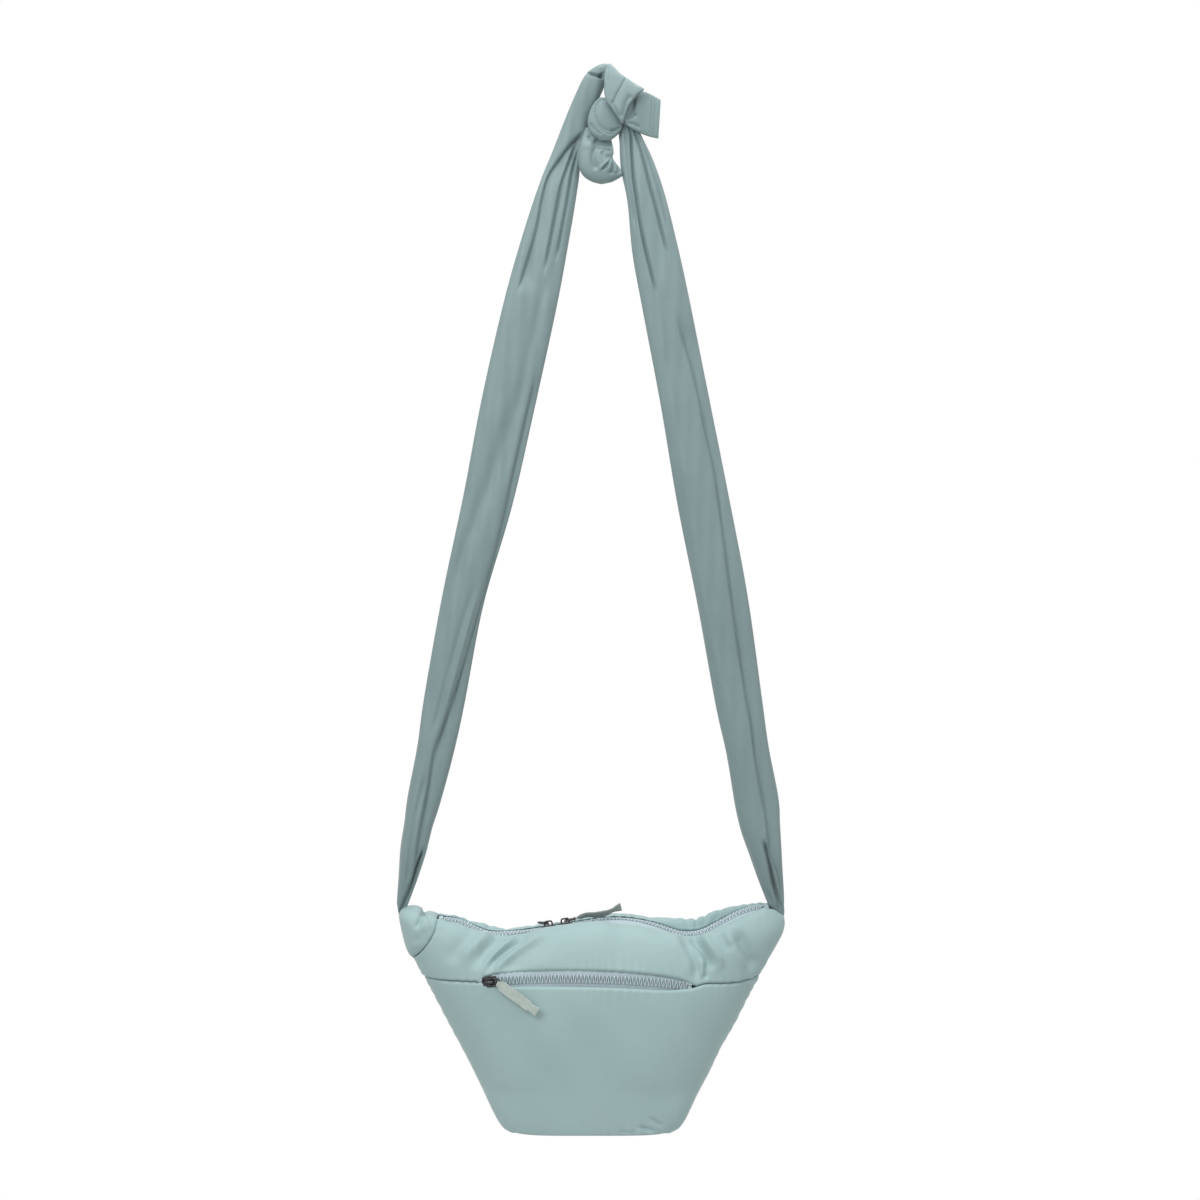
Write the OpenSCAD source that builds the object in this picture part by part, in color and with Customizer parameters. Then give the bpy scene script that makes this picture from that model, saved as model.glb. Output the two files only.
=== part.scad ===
// Padded trapeze bag that hangs by a knotted cloth strap.
// Millimetres, +Z up, the front of the bag faces -Y.
// The origin is the point where a hook carries the strap, under its top fold.

/* [Bag] */
// Width of the base
base_w = 136; // [120:1:150]
// Growth in width for each millimetre of height
flare = 1.07; // [1.0:0.01:1.12]
// Depth of the base
base_d = 74; // [66:1:80]
// Depth at the fullest level
belly_d = 88; // [80:1:96]
// Level of the fullest depth above the base
belly_level = 90; // [80:1:100]
// Level of the seam above the base, along which the front pocket opens
seam_level = 118; // [114:1:122]
// Thickness of the shell cloth
shell_t = 1.5; // [1.2:0.1:1.6]
// Thickness of the wadding
wadding_t = 2.8; // [2:0.1:3]
// Thickness of the lining and the pouch cloth
lining_t = 0.8; // [0.6:0.1:1]

/* [Zips] */
// Distance from one tooth to the next on the same tape
pitch = 2.8; // [2.5:0.1:3.2]
// Width of each tape
tape_w = 13; // [11:0.5:14]
// Width over both rows of teeth
chain_w = 6.2; // [5.6:0.1:6.4]
// Length of the front zip between its end stops
front_zip_l = 158.5; // [150:0.5:162]
// Radius of the arc that the front zip follows
front_zip_r = 401.5; // [380:0.5:450]

/* [Sliders] */
// Length of a slider
slider_l = 11; // [10:0.5:11.5]
// Width of a slider at its mouth
slider_w = 9.6; // [9:0.1:10]
// Thickness of the wire of a pull ring
ring_wire = 1.3; // [1.1:0.1:1.4]
// Length of a ribbon pull
ribbon_l = 40; // [34:1:42]
// Width of a ribbon pull
ribbon_w = 8; // [6:0.5:9]

/* [Hidden] */

// Colours of the real pieces
nylon = "#97b1b2";
nylon_shade = "#839b9e";
lining_grey = "#8d9c9e";
wadding_white = "#e6e8e6";
tape_blue = "#a9bcc1";
teeth_blue = "#9caeb4";
gunmetal = "#3a3b3d";
ribbon_sage = "#b5c1ba";

// Places of the bag in the frame
bag_x = -9;
base_z = -822;
base_t = 2.4;
foot_level = 7;
foot_inset = 3.6;
rim_level = 160;
tape_t = 0.6;
gap = 0.2;

// Value on a smooth line through [place, value] pairs, held flat past both ends
function clamp(x, low, high) = min(max(x, low), high);
function mix(a, b, t) = a + (b - a) * t;
function slope(p, i) =
    let (a = max(i - 1, 0), b = min(i + 1, len(p) - 1))
    (p[b][1] - p[a][1]) / (p[b][0] - p[a][0]);
function piece_at(p, x, i = 0) =
    (i >= len(p) - 2 || x < p[i + 1][0]) ? i : piece_at(p, x, i + 1);
function hermite(p, x, i) =
    let (h = p[i + 1][0] - p[i][0], t = (x - p[i][0]) / h, t2 = t * t, t3 = t2 * t)
    p[i][1] * (2 * t3 - 3 * t2 + 1) + slope(p, i) * h * (t3 - 2 * t2 + t)
    + p[i + 1][1] * (3 * t2 - 2 * t3) + slope(p, i + 1) * h * (t3 - t2);
function curve(p, x) =
    let (held = clamp(x, p[0][0], p[len(p) - 1][0]))
    hermite(p, held, piece_at(p, held));
function flatten(lists) = [for (a = lists) for (b = a) b];
function middle(points) =
    let (ones = [for (p = points) 1]) (ones * points) / len(points);

// A closed solid from points and triangles, turned right side out if need be
module solid(points, faces) {
    parts = [for (f = faces) cross(points[f[0]], points[f[1]]) * points[f[2]]];
    inside_out = parts * [for (p = parts) 1] > 0;
    polyhedron(points = points, faces = inside_out ? [for (f = faces) [f[2], f[1], f[0]]] : faces);
}

// Two triangles for the four corners a, b, c, d
function quad(a, b, c, d) = [[a, b, c], [a, c, d]];

// A sheet with thickness between two grids of points
module sheet(outer, inner) {
    n = len(outer);
    m = len(outer[0]);
    k = n * m;
    function at(i, j) = i * m + j;
    faces = flatten(concat(
        [for (i = [0:n - 2]) for (j = [0:m - 2])
            quad(at(i, j), at(i, j + 1), at(i + 1, j + 1), at(i + 1, j))],
        [for (i = [0:n - 2]) for (j = [0:m - 2])
            quad(k + at(i, j), k + at(i + 1, j), k + at(i + 1, j + 1), k + at(i, j + 1))],
        [for (i = [0:n - 2]) quad(at(i, 0), at(i + 1, 0), k + at(i + 1, 0), k + at(i, 0))],
        [for (i = [0:n - 2])
            quad(at(i + 1, m - 1), at(i, m - 1), k + at(i, m - 1), k + at(i + 1, m - 1))],
        [for (j = [0:m - 2]) quad(at(0, j + 1), at(0, j), k + at(0, j), k + at(0, j + 1))],
        [for (j = [0:m - 2])
            quad(at(n - 1, j), at(n - 1, j + 1), k + at(n - 1, j + 1), k + at(n - 1, j))]
    ));
    solid(flatten(concat(outer, inner)), faces);
}

// A closed body through rings of points, with both ends shut
module loft(rings) {
    n = len(rings);
    m = len(rings[0]);
    ends = [middle(rings[0]), middle(rings[n - 1])];
    faces = flatten(concat(
        [for (i = [0:n - 2]) for (j = [0:m - 1]) let (q = (j + 1) % m)
            quad(i * m + j, i * m + m + j, i * m + m + q, i * m + q)],
        [[for (j = [0:m - 1]) [n * m, j, (j + 1) % m]]],
        [[for (j = [0:m - 1]) [n * m + 1, (n - 1) * m + (j + 1) % m, (n - 1) * m + j]]]
    ));
    solid(concat(flatten(rings), ends), faces);
}

// An open cup: outer rings and inner rings from the bottom up
module cup(outer, inner) {
    n = len(outer);
    m = len(outer[0]);
    k = n * m;
    bottoms = [middle(outer[0]), middle(inner[0])];
    faces = flatten(concat(
        [for (i = [0:n - 2]) for (j = [0:m - 1]) let (q = (j + 1) % m)
            quad(i * m + j, i * m + m + j, i * m + m + q, i * m + q)],
        [for (i = [0:n - 2]) for (j = [0:m - 1]) let (q = (j + 1) % m)
            quad(k + i * m + j, k + i * m + q, k + i * m + m + q, k + i * m + m + j)],
        [for (j = [0:m - 1]) let (q = (j + 1) % m)
            quad((n - 1) * m + j, k + (n - 1) * m + j, k + (n - 1) * m + q, (n - 1) * m + q)],
        [[for (j = [0:m - 1]) [2 * k, j, (j + 1) % m]]],
        [[for (j = [0:m - 1]) [2 * k + 1, k + (j + 1) % m, k + j]]]
    ));
    solid(concat(flatten(outer), flatten(inner), bottoms), faces);
}

// The line of the top zip: pieces of [length, turn in degrees] from its left end
zip_start = [-128.4, -660.4];
zip_heading = -8;
zip_pieces = [
    [12, 0], [8, -17], [14, 0], [14, 27], [24.5, 7], [51, 0], [55.7, -29], [8, 0], [29.3, 48],
    [22.5, 0], [28, -28]
];
zip_l = zip_pieces * [1, 0] * [for (p = zip_pieces) 1];
function step(place, l, piece) =
    let (x = place[0], z = place[1], h = place[2], turn = piece[1] * l / piece[0])
    abs(turn) < 0.001 ? [x + l * cos(h), z + l * sin(h), h]
    : let (r = piece[0] / (piece[1] * PI / 180))
      [x + r * (sin(h + turn) - sin(h)), z - r * (cos(h + turn) - cos(h)), h + turn];
function zip_at(l, i = 0, place = [zip_start[0], zip_start[1], zip_heading]) =
    (i == len(zip_pieces) - 1 || l <= zip_pieces[i][0]) ? step(place, l, zip_pieces[i])
    : zip_at(l - zip_pieces[i][0], i + 1, step(place, zip_pieces[i][0], zip_pieces[i]));
zip_total = 267;
zip_line = [for (k = [0:38]) let (p = zip_at(zip_total * k / 38)) [p[0], p[1]]];
function zip_z(x) = curve(zip_line, x);

// Heights of the two padded rims beside the top zip. Where the front rim lies lower than the
// zip, its tape slopes down to the lip.
front_rim = [
    [-159, -660], [-157, -655.5], [-150, -651], [-139, -653.5], [-129, -659.4], [-120.4, -663.2],
    [-110, -666.4], [-89, -670.4], [-76, -671.2], [-64.7, -671], [-48.4, -665.8], [-27, -662.8],
    [-2, -660], [11.7, -662.6], [28, -663.8], [47.6, -668], [65.5, -671.8], [76.4, -671],
    [91.8, -664.1], [102, -660], [112, -656], [122.4, -652.2], [129.6, -651], [138, -655.5],
    [141.5, -659.5]
];
back_rim = [
    [-159, -660], [-157, -655.5], [-150, -651], [-139, -653.5], [-119, -662], [-97, -665.5],
    [-76, -670.5], [-55, -669], [-30, -664], [0, -661], [22, -662.5], [58, -661.5],
    [73, -661.5], [91, -655.5], [113, -651], [129, -650.5], [138, -655.5], [141.5, -659.5]
];

// Outline of the bag: half its width and depth at a level above the base
function foot(v) = foot_inset * (1 - sqrt(1 - pow(1 - clamp(v / foot_level, 0, 1), 2)));
function half_w(v) =
    base_w / 2 + flare / 2 * v - 0.022 * pow(max(0, v - 148), 2) - foot(v);
function roundness(v) = mix(2.8, 2.1, clamp(v / rim_level, 0, 1));
function wide(s, n) = sign(s) * pow(abs(sin(90 * s)), 2 / n);
function deep(s, n) = pow(max(cos(90 * s), 0), 2 / n);
lowest_rim = [-2.6, 2.3];
function rim_at(x, back) =
    max(curve(back ? back_rim : front_rim, x),
        x < 133 && x > -133 ? zip_z(x) + lowest_rim[back ? 1 : 0] : -900);
function rim_z(s, back) = rim_at(bag_x + 150 * wide(s, 2.1), back);
function rim_v(s, back) = rim_z(s, back) - base_z;
crest_d = 15;
function half_d(v, s, back) =
    v < belly_level ? mix(base_d / 2, belly_d / 2, sin(90 * v / belly_level)) - foot(v)
    : let (t = min((v - belly_level) / (rim_v(s, back) + 3 - belly_level), 1))
      crest_d + (belly_d / 2 - crest_d) * sqrt(1 - t * t);

// A point of the shell: s runs -1 to 1 across the bag, v is the level, in is the depth below
function skin(s, v, in, back) =
    let (n = roundness(v), side = back ? 1 : -1)
    [
        bag_x + (half_w(v) - in) * wide(s, n),
        side * ((half_d(v, s, back) - in) * deep(s, n) + gap / 2),
        base_z + v
    ];

// Where across the bag the place x lies at a level
function s_at(x, v) =
    sign(x - bag_x) * asin(pow(clamp(abs(x - bag_x) / half_w(v), 0, 1), roundness(v) / 2)) / 90;

// The left edge of the front and back panels follows the corner seam above this level,
// and the columns between it and the join line close up evenly
corner_v0 = 131;
corner_v1 = 162;
corner_x0 = -148.6;
corner_x1 = -128.9;
join_s = -0.42;
function s_left(v) =
    v <= corner_v0 ? -1
    : s_at(mix(corner_x0, corner_x1, min((v - corner_v0) / (corner_v1 - corner_v0), 1)), v);
function held_s(s, v) = s > join_s ? s : mix(s_left(v), join_s, (s + 1) / (join_s + 1));

// The place of the lip where a panel meets the zip tape
lip_y = 10.5;
lip_rise = tape_t / 2 + 1.35;
rim_fall = 0.7;
function lip_drop(x, back) = max(0, zip_z(x) + lip_rise - rim_at(x, back) + rim_fall);
function lip(s, in, back) =
    let (top = skin(s, rim_v(s, back), 0, back), side = back ? 1 : -1,
         room = max(abs(top[1]) - 2.5, 0),
         x = bag_x + (top[0] - bag_x) * (1 - 0.025 * pow(abs(s), 8)))
    [
        x,
        side * (min(lip_y, room) + in * 0.3),
        min(zip_z(x) + lip_rise, rim_z(s, back) - rim_fall) - in * 0.7
    ];

// The front zip follows an arc in a plane that leans back, so it bows forwards and upwards
front_zip_mid = [-12.5, -39, -700.6];
front_zip_bank = 38.3;
front_zip_tilt = 1.1;
front_zip_half = front_zip_l / 2 / front_zip_r * 180 / PI;
front_zip_level = front_zip_mid[2] - base_z;
function front_zip_v(s) =
    let (d = skin(s, front_zip_level, 0, false)[0] - front_zip_mid[0])
    front_zip_level - d * d / 2 / front_zip_r * sin(front_zip_bank) - d * tan(front_zip_tilt);

// Columns of the front panels, with one close pair at each end of the pocket opening
opening_s0 = s_at(-97, front_zip_level);
opening_s1 = s_at(70.3, front_zip_level);
end_step = 0.015;
columns = concat(
    [for (k = [0:6]) mix(-1, opening_s0 - end_step, k / 6)],
    [for (k = [0:14]) mix(opening_s0, opening_s1, k / 14)],
    [for (k = [0:6]) mix(opening_s1 + end_step, 1, k / 6)]
);
lip_end = 5.3;
lip_middle = 6.3;
seam_line = [[-1, -1.5], [-0.45, 0.5], [0.42, -1.1], [0.62, -2], [0.8, -0.5], [1, 2]];
function opens(s) = s >= opening_s0 - 0.001 && s <= opening_s1 + 0.001;
function lip_height(s) =
    mix(lip_end, lip_middle, sin(180 * clamp((s - opening_s0) / (opening_s1 - opening_s0), 0, 1)));
function pocket_edge(s, up) =
    opens(s) ? front_zip_v(s) + up * lip_height(s)
    : seam_level + curve(seam_line, s) + up * gap / 2;

// Levels of the foot, where the panels turn in to the base
feet = [base_t + gap, 4.6];
first_level = 8;

// A column from the level v0 over the rim to the lip beside the top zip
function upper_column(s, v0, in, back, rows, below = []) =
    let (top = rim_v(held_s(s, corner_v1), back))
    concat(
        [for (v = below) skin(s, v, in, back)],
        [for (j = [0:rows]) let (v = mix(v0, top - in, pow(j / rows, 0.8)))
            skin(held_s(s, v), v, in, back)],
        [lip(held_s(s, top), in, back)]
    );

module front_upper_panel() {
    rows = 5;
    color(nylon)
    sheet(
        [for (s = columns) upper_column(s, pocket_edge(s, 1), 0, false, rows)],
        [for (s = columns) upper_column(s, pocket_edge(s, 1), shell_t, false, rows)]
    );
}

module front_lower_panel() {
    rows = 5;
    function column(s, in) = concat(
        [for (v = feet) skin(s, v, in, false)],
        [for (j = [0:rows]) skin(s, mix(first_level, pocket_edge(s, -1), j / rows), in, false)]
    );
    color(nylon)
    sheet([for (s = columns) column(s, 0)], [for (s = columns) column(s, shell_t)]);
}

module back_panel() {
    rows = 10;
    across = [for (k = [0:28]) -1 + k / 14];
    color(nylon)
    sheet(
        [for (s = across) upper_column(s, first_level, 0, true, rows, feet)],
        [for (s = across) upper_column(s, first_level, shell_t, true, rows, feet)]
    );
}

// A ring of points round the whole bag at one level
ring_n = 22;
function around(v, in) = concat(
    [for (k = [0:ring_n - 1]) skin(-1 + 2 * k / ring_n, v, in, false)],
    [for (k = [0:ring_n - 1]) skin(1 - 2 * k / ring_n, v, in, true)]
);

// Insets in the base are counted from the foot of the panels
module base_panel() {
    levels = [[0, 0.8], [0.7, -1], [base_t, -2.4]];
    outer = [for (l = levels) [for (p = around(0, l[1])) [p[0], p[1], base_z + l[0]]]];
    inner = [for (l = levels)
        [for (p = around(0, l[1] + shell_t)) [p[0], p[1], base_z + max(l[0], shell_t)
            + (l[0] == 0.7 ? 0.1 : 0)]]];
    color(nylon)
    cup(outer, inner);
}

module base_wadding() {
    low = [for (p = around(0, 3.9)) [p[0], p[1], base_z + shell_t + 0.8]];
    high = [for (p = around(0, -0.4)) [p[0], p[1], base_z + 6]];
    color(wadding_white)
    loft([low, high]);
}

// The end cap of the left corner: rings from the corner seam to the tip
corner_rings = [
    [-139.3, -674.8, 34, 29], [-143.8, -671.3, 33, 26], [-148.5, -667.8, 30, 21],
    [-153, -664.3, 23, 15], [-156.3, -661.8, 14, 8.5]
];
corner_lean = 56.5;
module left_corner_panel() {
    m = 16;
    rings = [for (r = corner_rings) [for (k = [0:m - 1])
        let (a = 360 * k / m, u = r[2] / 2 * cos(a), w = r[3] / 2 * sin(a))
        [r[0] + u * cos(corner_lean), w, r[1] + u * sin(corner_lean)]]];
    color(nylon)
    loft(rings);
}

// Wadding lies under the shell cloth, clear of the zips
wadding_in = 2.6;
module wadding(s0, s1, v0, v1, rows, back) {
    across = [for (k = [0:18]) mix(s0, s1, k / 18)];
    function column(s, in) =
        [for (j = [0:rows]) let (top = v1 > 0 ? v1 : rim_v(s, back) - 14)
            skin(s, mix(v0, top, pow(j / rows, 0.8)), in, back)];
    color(wadding_white)
    sheet(
        [for (s = across) column(s, wadding_in)],
        [for (s = across) column(s, wadding_in + wadding_t)]
    );
}

module front_upper_wadding() { wadding(-0.7, 0.8, front_zip_level + tape_w + 1.5, 0, 2, false); }
module front_lower_wadding() { wadding(-0.86, 0.86, 9, front_zip_level - tape_w - 9, 5, false); }
module back_wadding() { wadding(-0.7, 0.8, 9, 0, 8, true); }

// The lining hangs from the top tapes and leaves room in front for the pouch
pouch_in = 6.2;
pouch_room = 8.4;
lining_front_in = pouch_in + pouch_room + 2;
lining_back_in = 6.6;
function lining_ring(v, extra) = concat(
    [for (k = [0:ring_n - 1]) let (s = -1 + 2 * k / ring_n)
        let (p = skin(s, v, lining_back_in + extra, false))
        [p[0], min(p[1] + (lining_front_in - lining_back_in) * min(2.2 * deep(s, 2), 1), 0), p[2]]],
    [for (k = [0:ring_n - 1]) skin(1 - 2 * k / ring_n, v, lining_back_in + extra, true)]
);
function lining_mouth(extra) = concat(
    [for (k = [0:ring_n - 1]) let (s = -1 + 2 * k / ring_n, x = bag_x + 5 + 126 * wide(s, 2))
        [x, -(lip_y - extra) * pow(deep(s, 2), 0.5), zip_z(x) - 1.2 - lip_drop(x, false)]],
    [for (k = [0:ring_n - 1]) let (s = 1 - 2 * k / ring_n, x = bag_x + 5 + 126 * wide(s, 2))
        [x, (lip_y - extra) * pow(deep(s, 2), 0.5), zip_z(x) - 1.2]]
);
module lining() {
    floor_v = 7;
    levels = [floor_v, 25, 55, 85, 108, 130];
    inner_levels = [floor_v + lining_t, 25, 55, 85, 108, 130];
    color(lining_grey)
    cup(
        concat([for (v = levels) lining_ring(v, 0)], [lining_mouth(0)]),
        concat([for (v = inner_levels) lining_ring(v, lining_t)], [lining_mouth(lining_t)])
    );
}

// The pouch behind the front zip: its mouth is open towards the zip and upwards
pouch_s0 = -0.5;
pouch_s1 = 0.47;
module front_pocket_pouch() {
    m = 10;
    function ring(v_front, v_back, wall) =
        let (s0 = pouch_s0 + wall * 0.008, s1 = pouch_s1 - wall * 0.008)
        concat(
            [for (k = [0:m]) skin(mix(s0, s1, k / m), v_front, pouch_in + wall, false)],
            [for (k = [0:m]) skin(mix(s1, s0, k / m), v_back, pouch_in + pouch_room - wall, false)]
        );
    top_front = front_zip_level - tape_w - 3;
    top_back = front_zip_level + 8;
    color(lining_grey)
    cup(
        concat([for (v = [14, 45, 75]) ring(v, v, 0)],
            [ring(91, 104, 0), ring(top_front, top_back, 0)]),
        concat([for (v = [14 + lining_t, 45, 75]) ring(v, v, lining_t)],
            [ring(91, 104, lining_t), ring(top_front, top_back, lining_t)])
    );
}

// The top zip
function tape_half(x) =
    let (s = clamp((x - bag_x) / 150, -1, 1), room = 23 * pow(1 - s * s, 0.45) - 3.5)
    max(min(tape_w, room), chain_w / 2 + 1);
module top_tape(side) {
    stations = [for (k = [0:104]) zip_at(zip_total * k / 104)];
    flat = 3.6;
    function fall(x, y) =
        let (edge = min(lip_y, tape_half(x) + 1))
        lip_drop(x, side > 0) * max(0, y - flat) / max(edge - flat, 0.8);
    function across(p, y, up) =
        [p[0] - up * sin(p[2]), side * y, p[1] + up * cos(p[2]) - fall(p[0], y)];
    function reaches(x) = let (half = tape_half(x)) [1.2, min(flat, half - 0.6), mix(flat, half, 0.5), half];
    color(tape_blue)
    loft([for (p = stations) let (r = reaches(p[0])) concat(
        [for (y = r) across(p, y, -tape_t / 2)],
        [for (k = [3:-1:0]) across(p, r[k], tape_t / 2)]
    )]);
}
module top_zip_tape_front() { top_tape(-1); }
module top_zip_tape_back() { top_tape(1); }

// A tooth points across the chain from its own tape: a head on a neck, clamped on the tape edge
tooth_t = 2.5;
module tooth(side) {
    head = 1.25;
    clamp_h = tooth_t / 2 - tape_t / 2 - 0.1;
    for (level = [-tooth_t / 2, tooth_t / 2 - clamp_h])
        translate([-head / 2, side > 0 ? 1 : -chain_w / 2, level])
        cube([head, chain_w / 2 - 1, clamp_h]);
    translate([-head / 2, side > 0 ? -0.9 : -1.15, -tooth_t / 2])
    cube([head, 2.05, tooth_t]);
}

// Distance along the top zip at which it has the place x
function l_at(x, low = 0, high = zip_total, n = 24) =
    n == 0 ? low
    : let (mid = (low + high) / 2)
      zip_at(mid)[0] < x ? l_at(x, mid, high, n - 1) : l_at(x, low, mid, n - 1);
left_slider_x = -42;
right_slider_x = -29;
left_slider_l = l_at(left_slider_x);
right_slider_l = l_at(right_slider_x);
module on_top_zip(l) {
    p = zip_at(l);
    translate([p[0], 0, p[1]])
    rotate([0, -p[2], 0])
    children();
}
module top_teeth(side) {
    shift = side > 0 ? pitch / 2 : 0;
    first = 5;
    color(teeth_blue)
    for (l = [first + shift:pitch:zip_total - 6])
        if (l < left_slider_l - 1 || l > right_slider_l + 1)
            on_top_zip(l) tooth(side);
}
module top_zip_teeth_front() { top_teeth(-1); }
module top_zip_teeth_back() { top_teeth(1); }

// A stop is a short block clamped over the edge of one tape
module stop_block(side) {
    for (level = [-1.65, 0.4])
        translate([-1.5, side > 0 ? 0.2 : -2.8, level])
        cube([3, 2.6, 1.25]);
    translate([-1.5, side > 0 ? 0.2 : -1.1, -0.5])
    cube([3, 0.9, 1]);
}
module top_zip_end_stops() {
    color(teeth_blue)
    for (l = [2, zip_total - 2])
        on_top_zip(l)
        for (side = [-1, 1])
            stop_block(side);
}

// The front zip
module on_front_zip(turn) {
    translate(front_zip_mid)
    rotate([0, front_zip_tilt, 0])
    rotate([-front_zip_bank, 0, 0])
    translate([0, front_zip_r, 0])
    rotate([0, 0, turn])
    translate([0, -front_zip_r, 0])
    rotate([front_zip_bank, 0, 0])
    children();
}

// A point given in the frame of the front zip: turn along the arc, y outwards is negative, z up
function front_zip_point(turn, y, z) =
    let (
        b = front_zip_bank,
        y1 = y * cos(b) - z * sin(b) - front_zip_r, z1 = y * sin(b) + z * cos(b),
        x2 = -y1 * sin(turn), y2 = y1 * cos(turn) + front_zip_r,
        y3 = y2 * cos(b) + z1 * sin(b), z3 = -y2 * sin(b) + z1 * cos(b),
        t = front_zip_tilt,
        x4 = x2 * cos(t) + z3 * sin(t), z4 = -x2 * sin(t) + z3 * cos(t)
    )
    front_zip_mid + [x4, y3, z4];
module front_tape(side) {
    reach = front_zip_half + 0.9;
    turns = [for (k = [0:20]) mix((side > 0 ? 0 : 0.35) - reach, reach, k / 20)];
    leans = side > 0 ? [0, 0, 1.4, 4.3] : [0, 0, 0.15, 0.6];
    reaches = [1.2, 3.4, 7, tape_w];
    color(tape_blue)
    loft([for (a = turns) concat(
        [for (k = [0:3]) front_zip_point(a, leans[k] - tape_t / 2, side * reaches[k])],
        [for (k = [3:-1:0]) front_zip_point(a, leans[k] + tape_t / 2, side * reaches[k])]
    )]);
}
module front_zip_tape_upper() { front_tape(1); }
module front_zip_tape_lower() { front_tape(-1); }

// The slider frame has x along the chain, y across it and z outwards
front_pitch = pitch / front_zip_r * 180 / PI;
front_slider_turn = -front_zip_half + 0.75;
module front_teeth(side) {
    shift = side > 0 ? front_pitch / 2 : 0;
    color(teeth_blue)
    for (a = [front_slider_turn + 0.15 + shift:front_pitch:front_zip_half - 0.4])
        on_front_zip(a)
        rotate([90, 0, 0])
        tooth(side);
}
module front_zip_teeth_upper() { front_teeth(1); }
module front_zip_teeth_lower() { front_teeth(-1); }
module front_zip_end_stops() {
    color(teeth_blue)
    for (a = [-front_zip_half - 0.35, front_zip_half + 0.2])
        on_front_zip(a)
        rotate([90, 0, 0])
        for (side = [-1, 1])
            stop_block(side);
}

// A slider: two wings joined by a diamond, turned-in flanges, and a crown on posts.
// Its mouth, where the rows part, is at -x.
wing_t = 1.2;
wing_gap = 2.9;
wing_top = wing_gap / 2 + wing_t;
tail_w = 7.6;
crown_post_x = 2.9;
pivot_z = 4;
crown_top = 6.3;
module wing() {
    linear_extrude(wing_t)
    polygon([
        [-slider_l / 2, -slider_w / 2 + 1.6], [-slider_l / 2 + 1.2, -slider_w / 2],
        [-0.5, -slider_w / 2 + 0.5], [slider_l / 2 - 0.8, -tail_w / 2],
        [slider_l / 2, -tail_w / 2 + 0.8], [slider_l / 2, tail_w / 2 - 0.8],
        [slider_l / 2 - 0.8, tail_w / 2], [-0.5, slider_w / 2 - 0.5],
        [-slider_l / 2 + 1.2, slider_w / 2], [-slider_l / 2, slider_w / 2 - 1.6]
    ]);
}
module slider() {
    flange_h = 0.55;
    color(gunmetal)
    union() {
        translate([0, 0, wing_gap / 2]) wing();
        translate([0, 0, -wing_top]) wing();
        translate([0, 0, -wing_gap / 2])
        linear_extrude(wing_gap)
        polygon([[-slider_l / 2, -0.6], [-slider_l / 2 + 1.8, -1], [-1.4, 0],
            [-slider_l / 2 + 1.8, 1], [-slider_l / 2, 0.6]]);
        for (side = [-1, 1])
            for (level = [-wing_gap / 2, wing_gap / 2 - flange_h])
                translate([0, side > 0 ? 3.35 : -3.85, level])
                cube([slider_l / 2 - 0.6, 0.5, flange_h]);
        for (end = [-1, 1])
            translate([end * crown_post_x - 0.7, -1.1, wing_top - 0.1])
            cube([1.4, 2.2, crown_top - wing_top - 0.9]);
        translate([0, 1.1, 0])
        rotate([90, 0, 0])
        linear_extrude(2.2)
        polygon([
            [-crown_post_x - 0.7, crown_top - 1.3], [-crown_post_x + 0.3, crown_top],
            [crown_post_x - 0.3, crown_top], [crown_post_x + 0.7, crown_top - 1.3],
            [crown_post_x - 0.7, crown_top - 1.3], [crown_post_x - 0.9, crown_top - 1.1],
            [-crown_post_x + 0.9, crown_top - 1.1], [-crown_post_x + 0.7, crown_top - 1.3]
        ]);
    }
}

// A pull ring: a bar through the crown, two legs and a round bow. It points along +x.
ring_half = 2.7;
ring_leg = 5.2;
module pull_ring() {
    r = ring_wire / 2;
    color(gunmetal)
    union() {
        translate([0, -ring_half - r, 0])
        rotate([-90, 0, 0])
        cylinder(r = r, h = 2 * (ring_half + r), $fn = 24);
        for (side = [-1, 1])
            translate([0, side * ring_half, 0])
            rotate([0, 90, 0])
            cylinder(r = r - 0.03, h = ring_leg + 0.2, $fn = 24);
        translate([ring_leg, 0, 0])
        rotate([0, 0, -90])
        rotate_extrude(angle = 180, $fn = 48)
        translate([ring_half, 0])
        circle(r = r, $fn = 24);
    }
}

// A ribbon pull folded round the bow, drawn about the centre of the bow and along +x
module pull_ribbon() {
    sleeve = 50;
    sleeve_r = 1.6;
    sleeve_bore = ring_wire / 2 + 0.3;
    thick = 1.4;
    start = ring_half + sleeve_r - 0.3;
    color(ribbon_sage)
    union() {
        rotate([0, 0, -sleeve / 2])
        rotate_extrude(angle = sleeve, $fn = 48)
        translate([ring_half, 0])
        difference() {
            circle(r = sleeve_r, $fn = 24);
            circle(r = sleeve_bore, $fn = 24);
        }
        translate([0, 0, -thick / 2])
        linear_extrude(thick)
        polygon([
            [start, -1.3], [start + 5, -ribbon_w / 2 + 0.6], [start + 16, -ribbon_w / 2],
            [ribbon_l * 0.78, -ribbon_w / 2 + 0.3], [ribbon_l * 0.86, -ribbon_w / 2 + 1.3],
            [ribbon_l, -ribbon_w / 2 + 0.8], [ribbon_l, ribbon_w / 2 - 0.6],
            [ribbon_l * 0.86, ribbon_w / 2 - 0.9], [ribbon_l * 0.78, ribbon_w / 2 - 0.1],
            [start + 16, ribbon_w / 2], [start + 5, ribbon_w / 2 - 0.6], [start, 1.3]
        ]);
    }
}

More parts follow.
